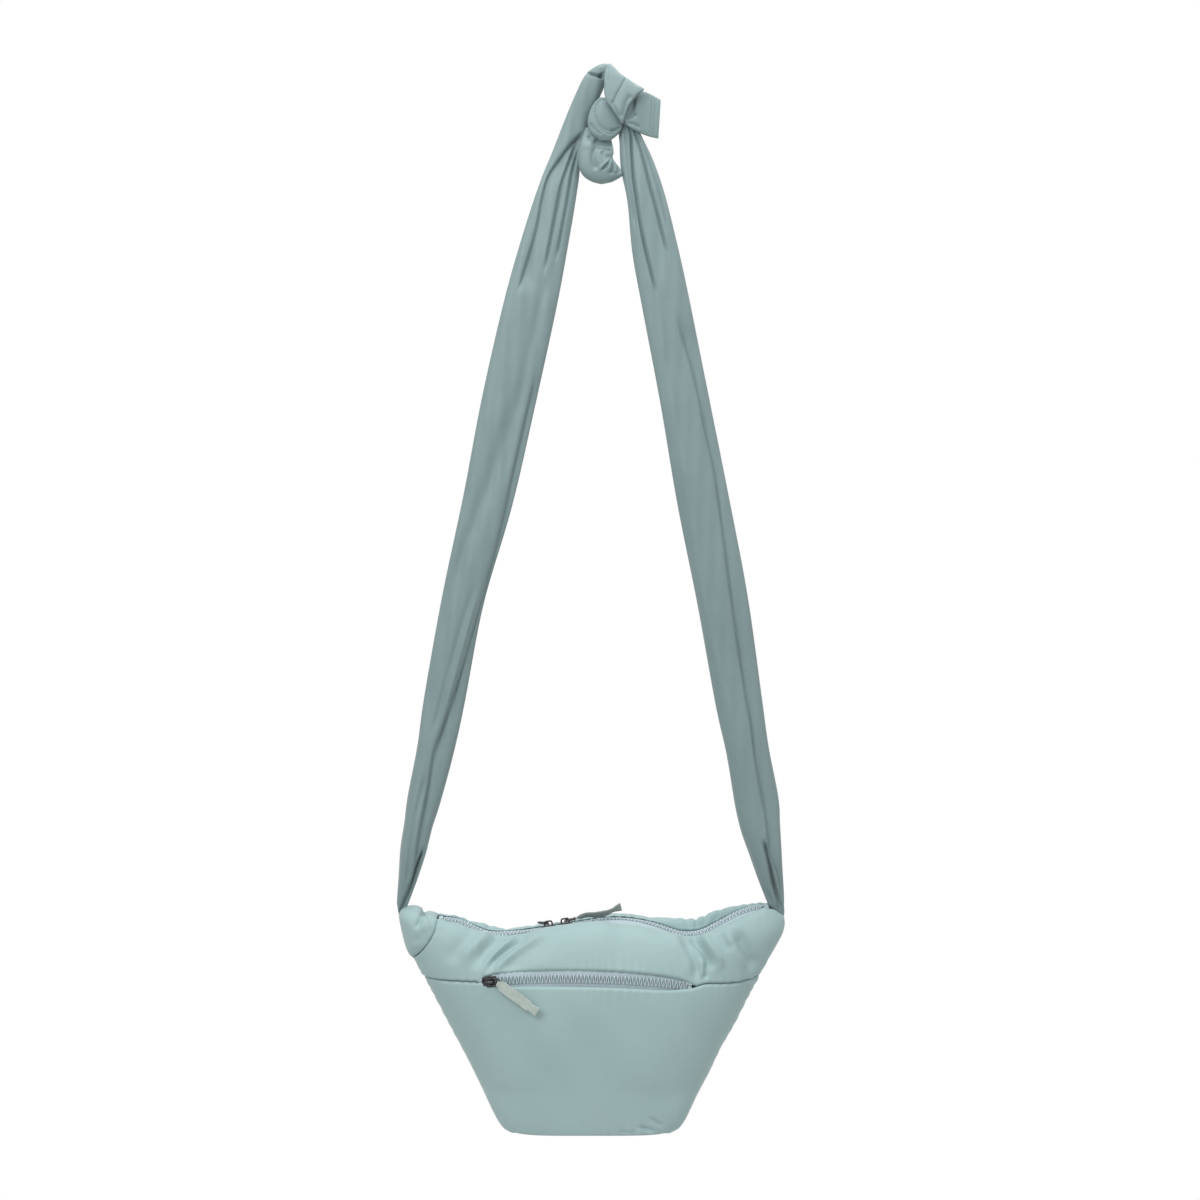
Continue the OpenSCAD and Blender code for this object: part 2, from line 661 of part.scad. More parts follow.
// Front slider at the left end of its zip, with the ring lying to the right
front_ring_lift = 9;
front_ribbon_droop = 38;
module on_front_slider() { on_front_zip(front_slider_turn) rotate([90, 0, 0]) children(); }
module on_front_ring() {
    on_front_slider() translate([0, 0, pivot_z]) rotate([0, -front_ring_lift, 0]) children();
}
module front_slider() { on_front_slider() slider(); }
module front_pull_ring() { on_front_ring() pull_ring(); }
module front_pull_ribbon() {
    on_front_ring()
    translate([ring_leg, 0, 0])
    rotate([0, 0, -front_ribbon_droop])
    pull_ribbon();
}

// Top sliders, mouth to mouth a little left of the middle
left_ring_lift = 14;
right_ring_lift = 3;
module top_left_slider() { on_top_zip(left_slider_l) rotate([0, 0, 180]) slider(); }
module top_left_pull_ring() {
    on_top_zip(left_slider_l)
    translate([0, 0, pivot_z])
    rotate([0, 0, 180])
    rotate([0, -left_ring_lift, 0])
    pull_ring();
}
module top_right_slider() { on_top_zip(right_slider_l) slider(); }
module on_top_right_ring() {
    on_top_zip(right_slider_l) translate([0, 0, pivot_z]) rotate([0, -right_ring_lift, 0]) children();
}
module top_right_pull_ring() { on_top_right_ring() pull_ring(); }
module top_right_pull_ribbon() { on_top_right_ring() translate([ring_leg, 0, 0]) pull_ribbon(); }

// The strap is a wide cloth tube, folded lengthwise. Its cross-section has a front lobe,
// a deep crease and a smaller lobe behind. Half sizes are 1.
fold = [
    [-1, 0], [-0.85, -0.62], [-0.5, -0.95], [-0.1, -1], [0.2, -0.8], [0.38, -0.15], [0.52, -0.5],
    [0.78, -0.55], [1, -0.05], [0.9, 0.5], [0.5, 0.85], [0, 0.95], [-0.5, 0.8], [-0.88, 0.5]
];
pad = [for (k = [0:13]) [-cos(360 * k / 14), -sin(360 * k / 14)]];

// Rings along [x, y, z, width, depth] stations, each square to the path in the front view
function swept(stations, section, mirrored = 1) =
    [for (i = [0:len(stations) - 1])
        let (
            p = stations[i], a = stations[max(i - 1, 0)], b = stations[min(i + 1, len(stations) - 1)],
            dx = b[0] - a[0], dz = b[2] - a[2], l = sqrt(dx * dx + dz * dz),
            ux = -dz / l, uz = dx / l
        )
        [for (q = section)
            [p[0] + ux * q[0] * mirrored * p[3] / 2, p[1] + q[1] * p[4] / 2,
                p[2] + uz * q[0] * mirrored * p[3] / 2]]
    ];

// Rings between a left and a right edge in the front view: [left x, left z, right x, right z,
// y, depth]
function spanned(stations, section) =
    [for (p = stations) [for (q = section)
        [mix(p[0], p[2], (1 + q[0]) / 2), p[4] + q[1] * p[5] / 2, mix(p[1], p[3], (1 + q[0]) / 2)]]];

// Stations between those chosen by hand
function refine(stations, n) =
    let (p = [for (i = [0:len(stations) - 1]) [i, stations[i]]])
    [for (k = [0:n * (len(stations) - 1)]) curve(p, k / n)];

// Both limbs start at the thin foot over a corner of the bag and end in the knot
left_limb = [
    [-157.8, 0, -654.8, 3.4, 2.4], [-156.6, 0, -649.3, 6, 3], [-155.8, 0, -645.8, 9.2, 5],
    [-151.6, 0, -626.5, 15.4, 19], [-147.8, 0, -606.8, 20.5, 24], [-143.9, 0, -587.3, 22.3, 24],
    [-139.6, 0, -567.8, 26, 22], [-130.6, 0, -528.8, 29, 18], [-123.6, 0, -489.8, 32, 16],
    [-109.2, 0, -411.8, 33, 15], [-89.7, 0, -333.8, 39, 14], [-73.3, 0, -255.8, 42, 14],
    [-55.8, 0, -177.8, 41, 14], [-42.1, 2, -119.3, 35, 14], [-33.5, 5, -84.2, 29, 13],
    [-27.3, 7, -65.5, 25, 12], [-19.2, 7, -40.6, 20.5, 11], [-14.2, 4, -21.8, 16.5, 11],
    [-11.2, 1.5, -9.4, 11.3, 11], [-7.8, 0, -1, 8.5, 12], [-2.2, -1, 3.3, 5.6, 12],
    [3, -2, 3.4, 4.6, 11]
];
right_limb = [
    [136.6, 0, -649, 8, 2.6], [134.8, 0, -643.5, 13.3, 6], [130.3, 0, -626.3, 20.2, 18],
    [126.4, 0, -606.8, 26, 24], [122.5, 0, -587.3, 31.5, 24], [119.7, 0, -567.8, 34.5, 22],
    [112.7, 0, -528.8, 33.5, 19], [105.7, 0, -489.8, 36.7, 17], [93.2, 0, -411.8, 39.8, 15],
    [78, 0, -333.8, 40.6, 14], [63.6, 0, -255.8, 38.2, 14], [48.4, 0, -177.8, 37.4, 14],
    [40.6, 0, -138.8, 35.9, 14], [33.9, 0, -99.8, 30, 14], [26.5, 1, -71.8, 26, 13],
    [21.8, 2, -53, 18.5, 12], [18.5, 3, -40, 14.5, 11], [14, 3, -33, 12, 9]
];
module strap_left() { color(nylon) loft(swept(refine(left_limb, 2), fold, -1)); }
module strap_right() { color(nylon) loft(swept(refine(right_limb, 2), fold)); }

// The knot: the turn of the left limb over the front, the turn of the right limb as the core,
// the hemmed tail on the right and the looped tail below
front_turn = [
    [3.6, 4.4, 6.2, 5.2, -3, 6], [1.9, 0.5, 9.2, 1.6, -5, 8], [1, -5.5, 13.5, -3.2, -7, 8.5],
    [0.9, -12, 19.5, -7.8, -8.5, 8], [1, -19, 26, -12.5, -10, 7.5], [2.8, -26, 31.8, -16.2, -11, 7],
    [6.5, -31, 27.5, -20.5, -11.5, 7], [10, -36, 21, -28, -11.5, 7], [13, -40.5, 17.5, -36, -11, 6],
    [14, -43, 16, -41.5, -10, 4]
];
core_turn = [
    [-3, -21.2, 1, -21.2, -3.5, 4], [-6, -24, 10, -24, -3.5, 8], [-8.6, -28, 13, -28, -3.5, 9.5],
    [-11, -34, 15, -34, -3.5, 10.5], [-12, -40, 15.5, -40, -3.5, 10.5],
    [-11.2, -45.5, 14.5, -45.5, -3.5, 9.5], [-8.6, -50, 11.5, -50, -3.5, 8],
    [-2.6, -54.2, 5.6, -54.2, -3.5, 4]
];
left_tail = [
    [15.6, -41.5, 16, -36, -6, 5], [18.5, -43.5, 20.5, -31, -6.5, 6], [22.5, -46, 24, -24.5, -6, 6],
    [27, -48, 28, -19.5, -4.5, 6.5], [31.5, -49.8, 32.5, -17.3, -3, 7], [36.5, -51.4, 38.5, -19, -3, 6],
    [41, -52.4, 43, -21.5, -3, 5], [43.2, -52.8, 45, -23, -3, 4]
];
right_tail = [
    [-11.5, -46, 5.5, -50, 3.6, 4], [-14.8, -50.5, 7, -54.5, 3.2, 5], [-17.6, -57.5, 8, -60, -2, 12],
    [-18.9, -63.5, 8.3, -63.5, -2, 13], [-19, -70, 7.6, -67.5, -2, 14],
    [-18.2, -76.5, 10, -71.5, -2, 14], [-15, -82, 13.8, -76.5, -2, 13], [-9, -86, 15, -81.5, -2, 10],
    [-2, -88, 8, -86, -2, 5]
];
module strap_left_turn() { color(nylon_shade) loft(spanned(refine(front_turn, 2), pad)); }
module strap_right_turn() { color(nylon_shade) loft(spanned(refine(core_turn, 2), pad)); }
module strap_left_tail() { color(nylon_shade) loft(spanned(refine(left_tail, 2), pad)); }
module strap_right_tail() { color(nylon_shade) loft(spanned(refine(right_tail, 2), fold)); }

front_upper_panel();
front_lower_panel();
back_panel();
base_panel();
left_corner_panel();
front_upper_wadding();
front_lower_wadding();
back_wadding();
base_wadding();
lining();
front_pocket_pouch();
top_zip_tape_front();
top_zip_tape_back();
top_zip_teeth_front();
top_zip_teeth_back();
top_zip_end_stops();
front_zip_tape_upper();
front_zip_tape_lower();
front_zip_teeth_upper();
front_zip_teeth_lower();
front_zip_end_stops();
front_slider();
front_pull_ring();
front_pull_ribbon();
top_left_slider();
top_left_pull_ring();
top_right_slider();
top_right_pull_ring();
top_right_pull_ribbon();
strap_left();
strap_left_turn();
strap_left_tail();
strap_right();
strap_right_turn();
strap_right_tail();
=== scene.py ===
# Looks of a padded trapeze bag that hangs by its knotted cloth strap.
# Lengths are in millimetres until a mesh is made. +Z is up and the front faces -Y.
# The origin is the hook's place, under the top fold of the strap.
import math

import bpy
import numpy as np
from mathutils import Matrix, Vector
from mathutils.bvhtree import BVHTree


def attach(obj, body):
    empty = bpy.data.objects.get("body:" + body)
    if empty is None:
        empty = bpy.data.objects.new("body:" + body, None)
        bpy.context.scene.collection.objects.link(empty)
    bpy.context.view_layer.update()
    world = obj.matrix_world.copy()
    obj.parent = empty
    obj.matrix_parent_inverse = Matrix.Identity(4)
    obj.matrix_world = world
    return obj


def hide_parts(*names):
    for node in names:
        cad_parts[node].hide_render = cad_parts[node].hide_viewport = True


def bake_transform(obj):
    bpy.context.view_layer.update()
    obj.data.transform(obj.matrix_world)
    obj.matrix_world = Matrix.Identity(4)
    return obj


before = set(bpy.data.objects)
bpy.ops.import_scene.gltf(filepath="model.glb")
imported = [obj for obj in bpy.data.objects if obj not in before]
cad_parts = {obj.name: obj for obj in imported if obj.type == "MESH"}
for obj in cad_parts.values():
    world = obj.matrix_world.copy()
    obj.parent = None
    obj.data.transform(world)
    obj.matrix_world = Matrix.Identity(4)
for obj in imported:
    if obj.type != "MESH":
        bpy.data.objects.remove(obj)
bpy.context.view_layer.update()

MM = 0.001

# Places and sizes of the bag, as in the frame. A level is a height over the base.
BAG_X = -9.0
BASE_Z = -822.0
BASE_HALF_W = 68.0
FLARE = 0.535  # growth of the half width with the level
SHOULDER_LEVEL = 148.0  # from here the ends draw in towards the feet of the strap
SHOULDER_DRAW = 0.022
BASE_HALF_D = 37.0
BELLY_HALF_D = 44.0
BELLY_LEVEL = 90.0
SEAM_LEVEL = 118.0
FOOT_LEVEL = 10.0
FOOT_INSET_X = 5.6
FOOT_INSET_Y = 1.2
RIM_LEVEL = 160.0
HALF_SPAN = 150.0  # half the width of the bag at its rim
PITCH = 2.8
TAPE_W = 13.0
TAPE_T = 0.6
CLOTH_T = 0.8  # lining and pouch

# Camera, level with the middle of the strap
CAMERA_AT = (-2.3, -1700.0, -412.0)
LENS = 65.4


def mix(a, b, t):
    return a + (b - a) * t


def smooth(t):
    t = np.clip(t, 0, 1)
    return t * t * (3 - 2 * t)


def curve(points, x):
    """A smooth line through (place, value) points, held past both ends."""
    p = np.array(points, float)
    x = np.clip(np.asarray(x, float), p[0, 0], p[-1, 0])
    last = len(p) - 1
    i = np.clip(np.searchsorted(p[:, 0], x, side="right") - 1, 0, last - 1)
    low = np.maximum(np.arange(last + 1) - 1, 0)
    high = np.minimum(np.arange(last + 1) + 1, last)
    slope = (p[high, 1] - p[low, 1]) / (p[high, 0] - p[low, 0])
    h = p[i + 1, 0] - p[i, 0]
    t = (x - p[i, 0]) / h
    return (
        p[i, 1] * (2 * t**3 - 3 * t**2 + 1)
        + slope[i] * h * (t**3 - 2 * t**2 + t)
        + p[i + 1, 1] * (3 * t**2 - 2 * t**3)
        + slope[i + 1] * h * (t**3 - t**2)
    )


def refine(stations, n):
    """n steps between each pair of stations, on a smooth line through them."""
    stations = np.array(stations, float)
    index = np.arange(len(stations))
    places = np.linspace(0, index[-1], n * index[-1] + 1)
    return np.stack([curve(np.stack([index, column], 1), places) for column in stations.T], 1)


# The lines of both zips

ZIP_START = (-128.4, -660.4)
ZIP_HEADING = -8.0
# Arcs and straights of the top zip: length and turn in degrees
ZIP_PIECES = [
    (12, 0), (8, -17), (14, 0), (14, 27), (24.5, 7), (51, 0), (55.7, -29), (8, 0), (29.3, 48),
    (22.5, 0), (28, -28),
]
ZIP_TOTAL = 267.0


def zip_at(length):
    """Place and heading in degrees at a distance along the top zip."""
    x, z, heading = ZIP_START[0], ZIP_START[1], ZIP_HEADING
    for n, (piece, turn) in enumerate(ZIP_PIECES):
        run = length if n == len(ZIP_PIECES) - 1 else min(length, piece)
        angle = turn * run / piece
        h = math.radians(heading)
        if abs(angle) < 0.001:
            x += run * math.cos(h)
            z += run * math.sin(h)
        else:
            r = piece / math.radians(turn)
            x += r * (math.sin(h + math.radians(angle)) - math.sin(h))
            z -= r * (math.cos(h + math.radians(angle)) - math.cos(h))
        heading += angle
        length -= run
        if length <= 0:
            break
    return x, z, heading


def zip_length_at(x):
    """Distance along the top zip at which it has the place x."""
    low, high = 0.0, ZIP_TOTAL
    for _ in range(24):
        middle = (low + high) / 2
        if zip_at(middle)[0] < x:
            low = middle
        else:
            high = middle
    return low


ZIP_LINE = [zip_at(ZIP_TOTAL * k / 120)[:2] for k in range(121)]

FRONT_ZIP_MID = np.array([-12.5, -39, -700.6])
FRONT_ZIP_R = 401.5
FRONT_ZIP_L = 158.5
FRONT_ZIP_BANK = 38.3
FRONT_ZIP_TILT = 1.1
FRONT_ZIP_HALF = math.degrees(FRONT_ZIP_L / 2 / FRONT_ZIP_R)
FRONT_ZIP_LEVEL = FRONT_ZIP_MID[2] - BASE_Z
FRONT_SLIDER_TURN = -FRONT_ZIP_HALF + 0.75


def front_zip_matrix(turn):
    """The frame of the front zip at a turn of its arc: x along, y inwards, z up."""
    bank = math.radians(FRONT_ZIP_BANK)
    return (
        Matrix.Translation(Vector(FRONT_ZIP_MID))
        @ Matrix.Rotation(math.radians(FRONT_ZIP_TILT), 4, "Y")
        @ Matrix.Rotation(-bank, 4, "X")
        @ Matrix.Translation((0, FRONT_ZIP_R, 0))
        @ Matrix.Rotation(math.radians(turn), 4, "Z")
        @ Matrix.Translation((0, -FRONT_ZIP_R, 0))
        @ Matrix.Rotation(bank, 4, "X")
    )


# The outline of the bag

# Places and heights of the rim, left to right
FRONT_RIM = [
    (-159, -660), (-157, -655.5), (-150, -651), (-139, -653.5), (-129, -658), (-120.4, -660.4),
    (-110, -663.6), (-89, -669.2), (-76, -671.2), (-64.7, -671), (-48.4, -665.8), (-27, -662.8),
    (-2, -660), (11.7, -662.6), (28, -663.8), (47.6, -668), (65.5, -671.8), (76.4, -671),
    (91.8, -664.1), (102, -660), (112, -656), (122.4, -652.2), (129.6, -651), (138, -655.5),
    (141.5, -659.5),
]
BACK_RIM = [
    (-159, -660), (-157, -655.5), (-150, -651), (-139, -653.5), (-119, -662), (-97, -665.5),
    (-76, -670.5), (-55, -669), (-30, -664), (0, -661), (22, -662.5), (58, -661.5),
    (73, -661.5), (91, -655.5), (113, -651), (129, -650.5), (138, -655.5), (141.5, -659.5),
]
# Rise and fall of the pocket seam across the bag, from -1 to 1
SEAM_LINE = [
    (-1, -0.2), (-0.7, -0.8), (-0.45, -0.2), (0.42, -1.4), (0.62, -2.2), (0.8, -0.5), (1, 2),
]
CREST_Y = 17.0
LIP_Y = 10.4
LIP_RISE = 1.65
RIM_FALL = 0.7
JOIN_S = -0.42
# Levels and places of the curved seam of the end cap
CORNER_SEAM = [
    (131, -148.6), (136, -143.4), (141.5, -138.4), (148, -133.8), (154.5, -130.6), (162, -128.9),
]


def wide(s, n):
    """Place across a rounded outline of exponent n, with s from -1 to 1."""
    return np.sign(s) * np.abs(np.sin(np.pi / 2 * s)) ** (2 / n)


def deep(s, n):
    """Share of the depth of the same outline at s."""
    return np.maximum(np.cos(np.pi / 2 * np.clip(s, -1, 1)), 0) ** (2 / n)


def foot(v):
    """Share by which the panels turn in near the base."""
    return 1 - np.sqrt(1 - (1 - np.clip(v / FOOT_LEVEL, 0, 1)) ** 2)


def half_w(v):
    drawn = SHOULDER_DRAW * np.maximum(0, v - SHOULDER_LEVEL) ** 2
    return BASE_HALF_W + FLARE * v - drawn - FOOT_INSET_X * foot(v)


def roundness(v):
    """Exponent of the bag's rounded outline from above: boxier near the foot."""
    return mix(2.8, 2.1, np.clip(v / RIM_LEVEL, 0, 1)) + 1.7 * (1 - smooth(v / 36))


def zip_z(x):
    return curve(ZIP_LINE, x)


def rim_at(x, back):
    above_zip = np.where(np.abs(x) < 133, zip_z(x) + (2.3 if back else -2.6), -900)
    return np.maximum(curve(BACK_RIM if back else FRONT_RIM, x), above_zip)


def rim_z(s, back):
    return rim_at(BAG_X + HALF_SPAN * wide(s, 2.1), back)


def lip_drop(x):
    """How far the front tape slopes down to a rim that lies lower than the zip."""
    return np.maximum(0, zip_z(x) + LIP_RISE - rim_at(x, False) + RIM_FALL)


def half_d(v, s, back):
    lower = mix(BASE_HALF_D, BELLY_HALF_D, np.sin(np.pi / 2 * np.clip(v / BELLY_LEVEL, 0, 1)))
    lower = lower - FOOT_INSET_Y * foot(v)
    t = np.clip((v - BELLY_LEVEL) / (rim_z(s, back) - BASE_Z - BELLY_LEVEL), 0, 1)
    upper = CREST_Y + (BELLY_HALF_D - CREST_Y) * np.sqrt(1 - t**2.3)
    return np.where(v < BELLY_LEVEL, lower, upper)


def skin(s, v, back, inset=0.0):
    """A point of the shell: s runs -1 to 1 across the bag and v is the level over its base."""
    n = roundness(v)
    side = 1 if back else -1
    x = BAG_X + (half_w(v) - inset) * wide(s, n)
    y = side * ((half_d(v, s, back) - inset) * deep(s, n) + 0.1)
    return np.stack(np.broadcast_arrays(x, y, BASE_Z + v), -1)


def s_at(x, v):
    share = np.clip(np.abs(x - BAG_X) / half_w(v), 0, 1)
    return np.sign(x - BAG_X) * np.arcsin(share ** (roundness(v) / 2)) / (np.pi / 2)


def held_s(s, v):
    """Columns left of the join line close up evenly between it and the corner seam."""
    edge = np.where(v <= CORNER_SEAM[0][0], -1, s_at(curve(CORNER_SEAM, v), v))
    return np.where(s > JOIN_S, s, mix(edge, JOIN_S, (s + 1) / (JOIN_S + 1)))


def front_zip_v(s):
    d = skin(s, FRONT_ZIP_LEVEL, False)[..., 0] - FRONT_ZIP_MID[0]
    drop = d * d / 2 / FRONT_ZIP_R * math.sin(math.radians(FRONT_ZIP_BANK))
    return FRONT_ZIP_LEVEL - drop - d * math.tan(math.radians(FRONT_ZIP_TILT))


# Where the pocket opens, and the places and heights of its two lips beside the zip
OPENING_X = (-94.6, 73.0)
OPENING_UP = [
    (-95, 1.6), (-89, 3.4), (-78, 5.2), (-20, 6.4), (25, 6.2), (52, 5.0), (64, 3.4), (73, 0.5),
]
OPENING_DOWN = [
    (-95, 0.6), (-89, 1.6), (-80, 4.0), (-20, 5.6), (35, 5.2), (52, 4.2), (64, 2.2), (73, 0.5),
]
SEAM_GAP = 0.1
LIP_REACH = 8.0
LIP_BLEND = 12.0


def pocket_edge(s, up):
    """Level of the seam, or of a lip where the pocket opens."""
    x = skin(s, FRONT_ZIP_LEVEL, False)[..., 0]
    height = curve(OPENING_UP if up > 0 else OPENING_DOWN, x)
    left_end = smooth((x - OPENING_X[0] + LIP_REACH) / LIP_BLEND)
    right_end = smooth((OPENING_X[1] + LIP_REACH - x) / LIP_BLEND)
    inside = (x > OPENING_X[0]) & (x < OPENING_X[1])
    height = np.where(inside, height, SEAM_GAP)
    seam = SEAM_LEVEL + curve(SEAM_LINE, s) + up * SEAM_GAP
    return mix(seam, front_zip_v(s) + up * height, left_end * right_end)


# Meshes


def grid_faces(rows, cols, first=0, closed=False):
    across = cols if closed else cols - 1
    i, j = np.meshgrid(np.arange(rows - 1), np.arange(across), indexing="ij")
    a = first + i * cols + j
    b = first + i * cols + (j + 1) % cols
    return np.stack([a, b, b + cols, a + cols], -1).reshape(-1, 4)


def grid_volume(points, quads):
    a, b, c, d = (points[quads[:, k]] for k in range(4))
    return (np.cross(a, b) * c).sum() + (np.cross(a, c) * d).sum()


def grid_uv(grid):
    """Lengths along both directions of a grid, in metres."""
    u = np.zeros(grid.shape[:2])
    v = np.zeros(grid.shape[:2])
    u[:, 1:] = np.cumsum(np.linalg.norm(np.diff(grid, axis=1), axis=-1), 1)
    v[1:, :] = np.cumsum(np.linalg.norm(np.diff(grid, axis=0), axis=-1), 0)
    u -= u.mean(1, keepdims=True)
    return np.stack([u, v], -1) * MM


def piece(name, points, quads, triangles=(), uv=None):
    """A mesh object from points in millimetres."""
    quads = np.asarray(quads, int).reshape(-1, 4)
    triangles = np.asarray(triangles, int).reshape(-1, 3)
    inside_out = grid_volume(points, quads)
    for k in range(len(triangles)):
        a, b, c = points[triangles[k]]
        inside_out += np.cross(a, b).dot(c)
    if inside_out < 0:
        quads = quads[:, ::-1]
        triangles = triangles[:, ::-1]
    mesh = bpy.data.meshes.new(name)
    mesh.from_pydata((points * MM).tolist(), [], quads.tolist() + triangles.tolist())
    if uv is not None:
        layer = mesh.uv_layers.new(name="cloth")
        corners = np.empty(len(mesh.loops), int)
        mesh.loops.foreach_get("vertex_index", corners)
        layer.data.foreach_set("uv", uv[corners].ravel())
    mesh.shade_smooth()
    obj = bpy.data.objects.new(name, mesh)
    bpy.context.collection.objects.link(obj)
    return obj


def shell(name, outer, inner):
    """A closed wall between two grids of points."""
    rows, cols = outer.shape[:2]
    n = rows * cols
    edge = np.concatenate([
        np.arange(cols),
        np.arange(1, rows) * cols + cols - 1,
        (rows - 1) * cols + np.arange(cols - 2, -1, -1),
        np.arange(rows - 2, 0, -1) * cols,
    ])
    after = np.roll(edge, -1)
    quads = np.concatenate([
        grid_faces(rows, cols),
        grid_faces(rows, cols, n)[:, ::-1],
        np.stack([after, edge, edge + n, after + n], -1),
    ])
    points = np.concatenate([outer.reshape(-1, 3), inner.reshape(-1, 3)])
    uv = np.concatenate([grid_uv(outer).reshape(-1, 2), grid_uv(inner).reshape(-1, 2)])
    return piece(name, points, quads, uv=uv)


def loft(name, rings):
    """A closed body through rings of points, with both ends shut."""
    rows, cols = rings.shape[:2]
    n = rows * cols
    ends = np.stack([rings[0].mean(0), rings[-1].mean(0)])
    k = np.arange(cols)
    after = (k + 1) % cols
    last = (rows - 1) * cols
    triangles = np.concatenate([
        np.stack([np.full(cols, n), after, k], -1),
        np.stack([np.full(cols, n + 1), last + k, last + after], -1),
    ])
    points = np.concatenate([rings.reshape(-1, 3), ends])
    uv = np.concatenate([grid_uv(rings).reshape(-1, 2), np.zeros((2, 2))])
    return piece(name, points, grid_faces(rows, cols, closed=True), triangles, uv)


def normals(grid, closed=False):
    if closed:
        wrapped = np.concatenate([grid[:, -2:], grid, grid[:, :2]], 1)
        du = np.gradient(wrapped, axis=1)[:, 2:-2]
    else:
        du = np.gradient(grid, axis=1)
    n = np.cross(du, np.gradient(grid, axis=0))
    n /= np.linalg.norm(n, axis=-1, keepdims=True) + 1e-9
    return n


def edge_lengths(grid):
    """Distances from the first row, last row, first column and last column."""
    across = np.zeros(grid.shape[:2])
    along = np.zeros(grid.shape[:2])
    across[:, 1:] = np.cumsum(np.linalg.norm(np.diff(grid, axis=1), axis=-1), 1)
    along[1:, :] = np.cumsum(np.linalg.norm(np.diff(grid, axis=0), axis=-1), 0)
    return along, along[-1:] - along, across, across[:, -1:] - across


def rolled(d, r):
    """Depth below a surface whose edge is rolled under with radius r."""
    share = np.clip(1 - d / r, 0, 1)
    return r * (1 - np.sqrt(1 - share**2 * 0.98))


def puckers(place, d, size, wave=7.0, reach=8.0):
    """Small gathers across a seam, with unequal spacing, that fade with the distance d."""
    phase = place + 2.1 * np.sin(place / 11.3) + 1.4 * np.sin(place / 5.1 + 1)
    height = 0.6 + 0.4 * np.sin(place / 17 + 0.7)
    return size * height * np.sin(2 * np.pi * phase / wave) * np.exp(-d / reach)


def along_line(x, z, line):
    """Signed distance from a smooth line in the front view, and the share of its length."""
    points = refine(line, 6)
    best = np.full(x.shape, 1e9)
    side = np.zeros(x.shape)
    share = np.zeros(x.shape)
    steps = np.linalg.norm(np.diff(points, axis=0), axis=1)
    starts = np.concatenate([[0], np.cumsum(steps)])
    for k in range(len(points) - 1):
        d = points[k + 1] - points[k]
        t = np.clip(((x - points[k, 0]) * d[0] + (z - points[k, 1]) * d[1]) / d.dot(d), 0, 1)
        ex = x - points[k, 0] - t * d[0]
        ez = z - points[k, 1] - t * d[1]
        distance = np.hypot(ex, ez)
        nearer = distance < best
        best = np.where(nearer, distance, best)
        side = np.where(nearer, np.sign(d[0] * ez - d[1] * ex), side)
        share = np.where(nearer, (starts[k] + t * steps[k]) / starts[-1], share)
    return best * side, share


def crease(x, z, line, depth, width, ends=0.25):
    """A valley along a line, that fades over a share of its length at both ends."""
    d, share = along_line(x, z, line)
    fade = smooth(share / ends) * smooth((1 - share) / ends) if ends > 0 else 1
    return depth * np.exp(-((d / width) ** 2)) * fade


def overlap(x, z, line, drop, reach, roll=3.0, ends=0.12):
    """Going down the line, cloth on its left lies over the cloth on its right."""
    d, share = along_line(x, z, line)
    fade = smooth(share / ends) * smooth((1 - share) / ends)
    over = 0.55 * rolled(np.maximum(-d, 0), roll)
    under = drop * np.exp(-np.maximum(d, 0) / reach)
    return mix(over, under, smooth(0.5 + d / 0.8)) * fade


# Soft panels of the bag

FIRST_LEVEL = 0.9  # lower edge of the walls
PAD_T = 4.2  # cloth and wadding together
PAD_EDGE_T = 0.7


def wave_noise(x, z, size):
    """Low unevenness of filled cloth, from a few fixed waves."""
    return size * (
        0.5 * np.sin(x / 23 + 1.3 * np.sin(z / 31)) * np.cos(z / 19 + 0.8)
        + 0.3 * np.sin(x / 13.7 - z / 17.1 + 2.0)
        + 0.2 * np.sin(x / 7.9 + z / 9.3 + 0.5)
    )


def quilted(name, grid, side, rolls, relief):
    """A padded panel: edges rolled under with four radii, relief, and an inner face."""
    n = normals(grid)
    if (n[..., 1] * side).sum() < 0:
        n = -n
    bottom, top, left, right = edge_lengths(grid)
    sink = np.maximum.reduce([
        rolled(d, r) for d, r in zip((bottom, top, left, right), rolls) if r > 0
    ])
    outer = grid + n * (relief - sink)[..., None]
    near = np.minimum.reduce([bottom, top, left, right])
    depth = mix(PAD_EDGE_T, PAD_T, smooth(near / 6))
    inner = outer - n * depth[..., None]
    inner[..., 1] = side * np.maximum(side * inner[..., 1], 0.05)
    outer[..., 1] = side * np.maximum(side * outer[..., 1], 0.05)
    return shell(name, outer, inner)


def spread(a, b, n, close=0.0):
    """n + 1 places from a to b, drawn towards both ends by the share close."""
    t = np.linspace(0, 1, n + 1)
    return mix(a, b, mix(t, smooth(t), close))


COLUMNS = np.concatenate([
    -1 + (JOIN_S + 1) * np.linspace(0, 1, 90) ** 1.35,
    s_at(np.linspace(-91.5, 90, 190), SEAM_LEVEL)[1:],
    1 - (1 - float(s_at(90.0, SEAM_LEVEL))) * np.linspace(1, 0, 60)[1:] ** 1.5,
])


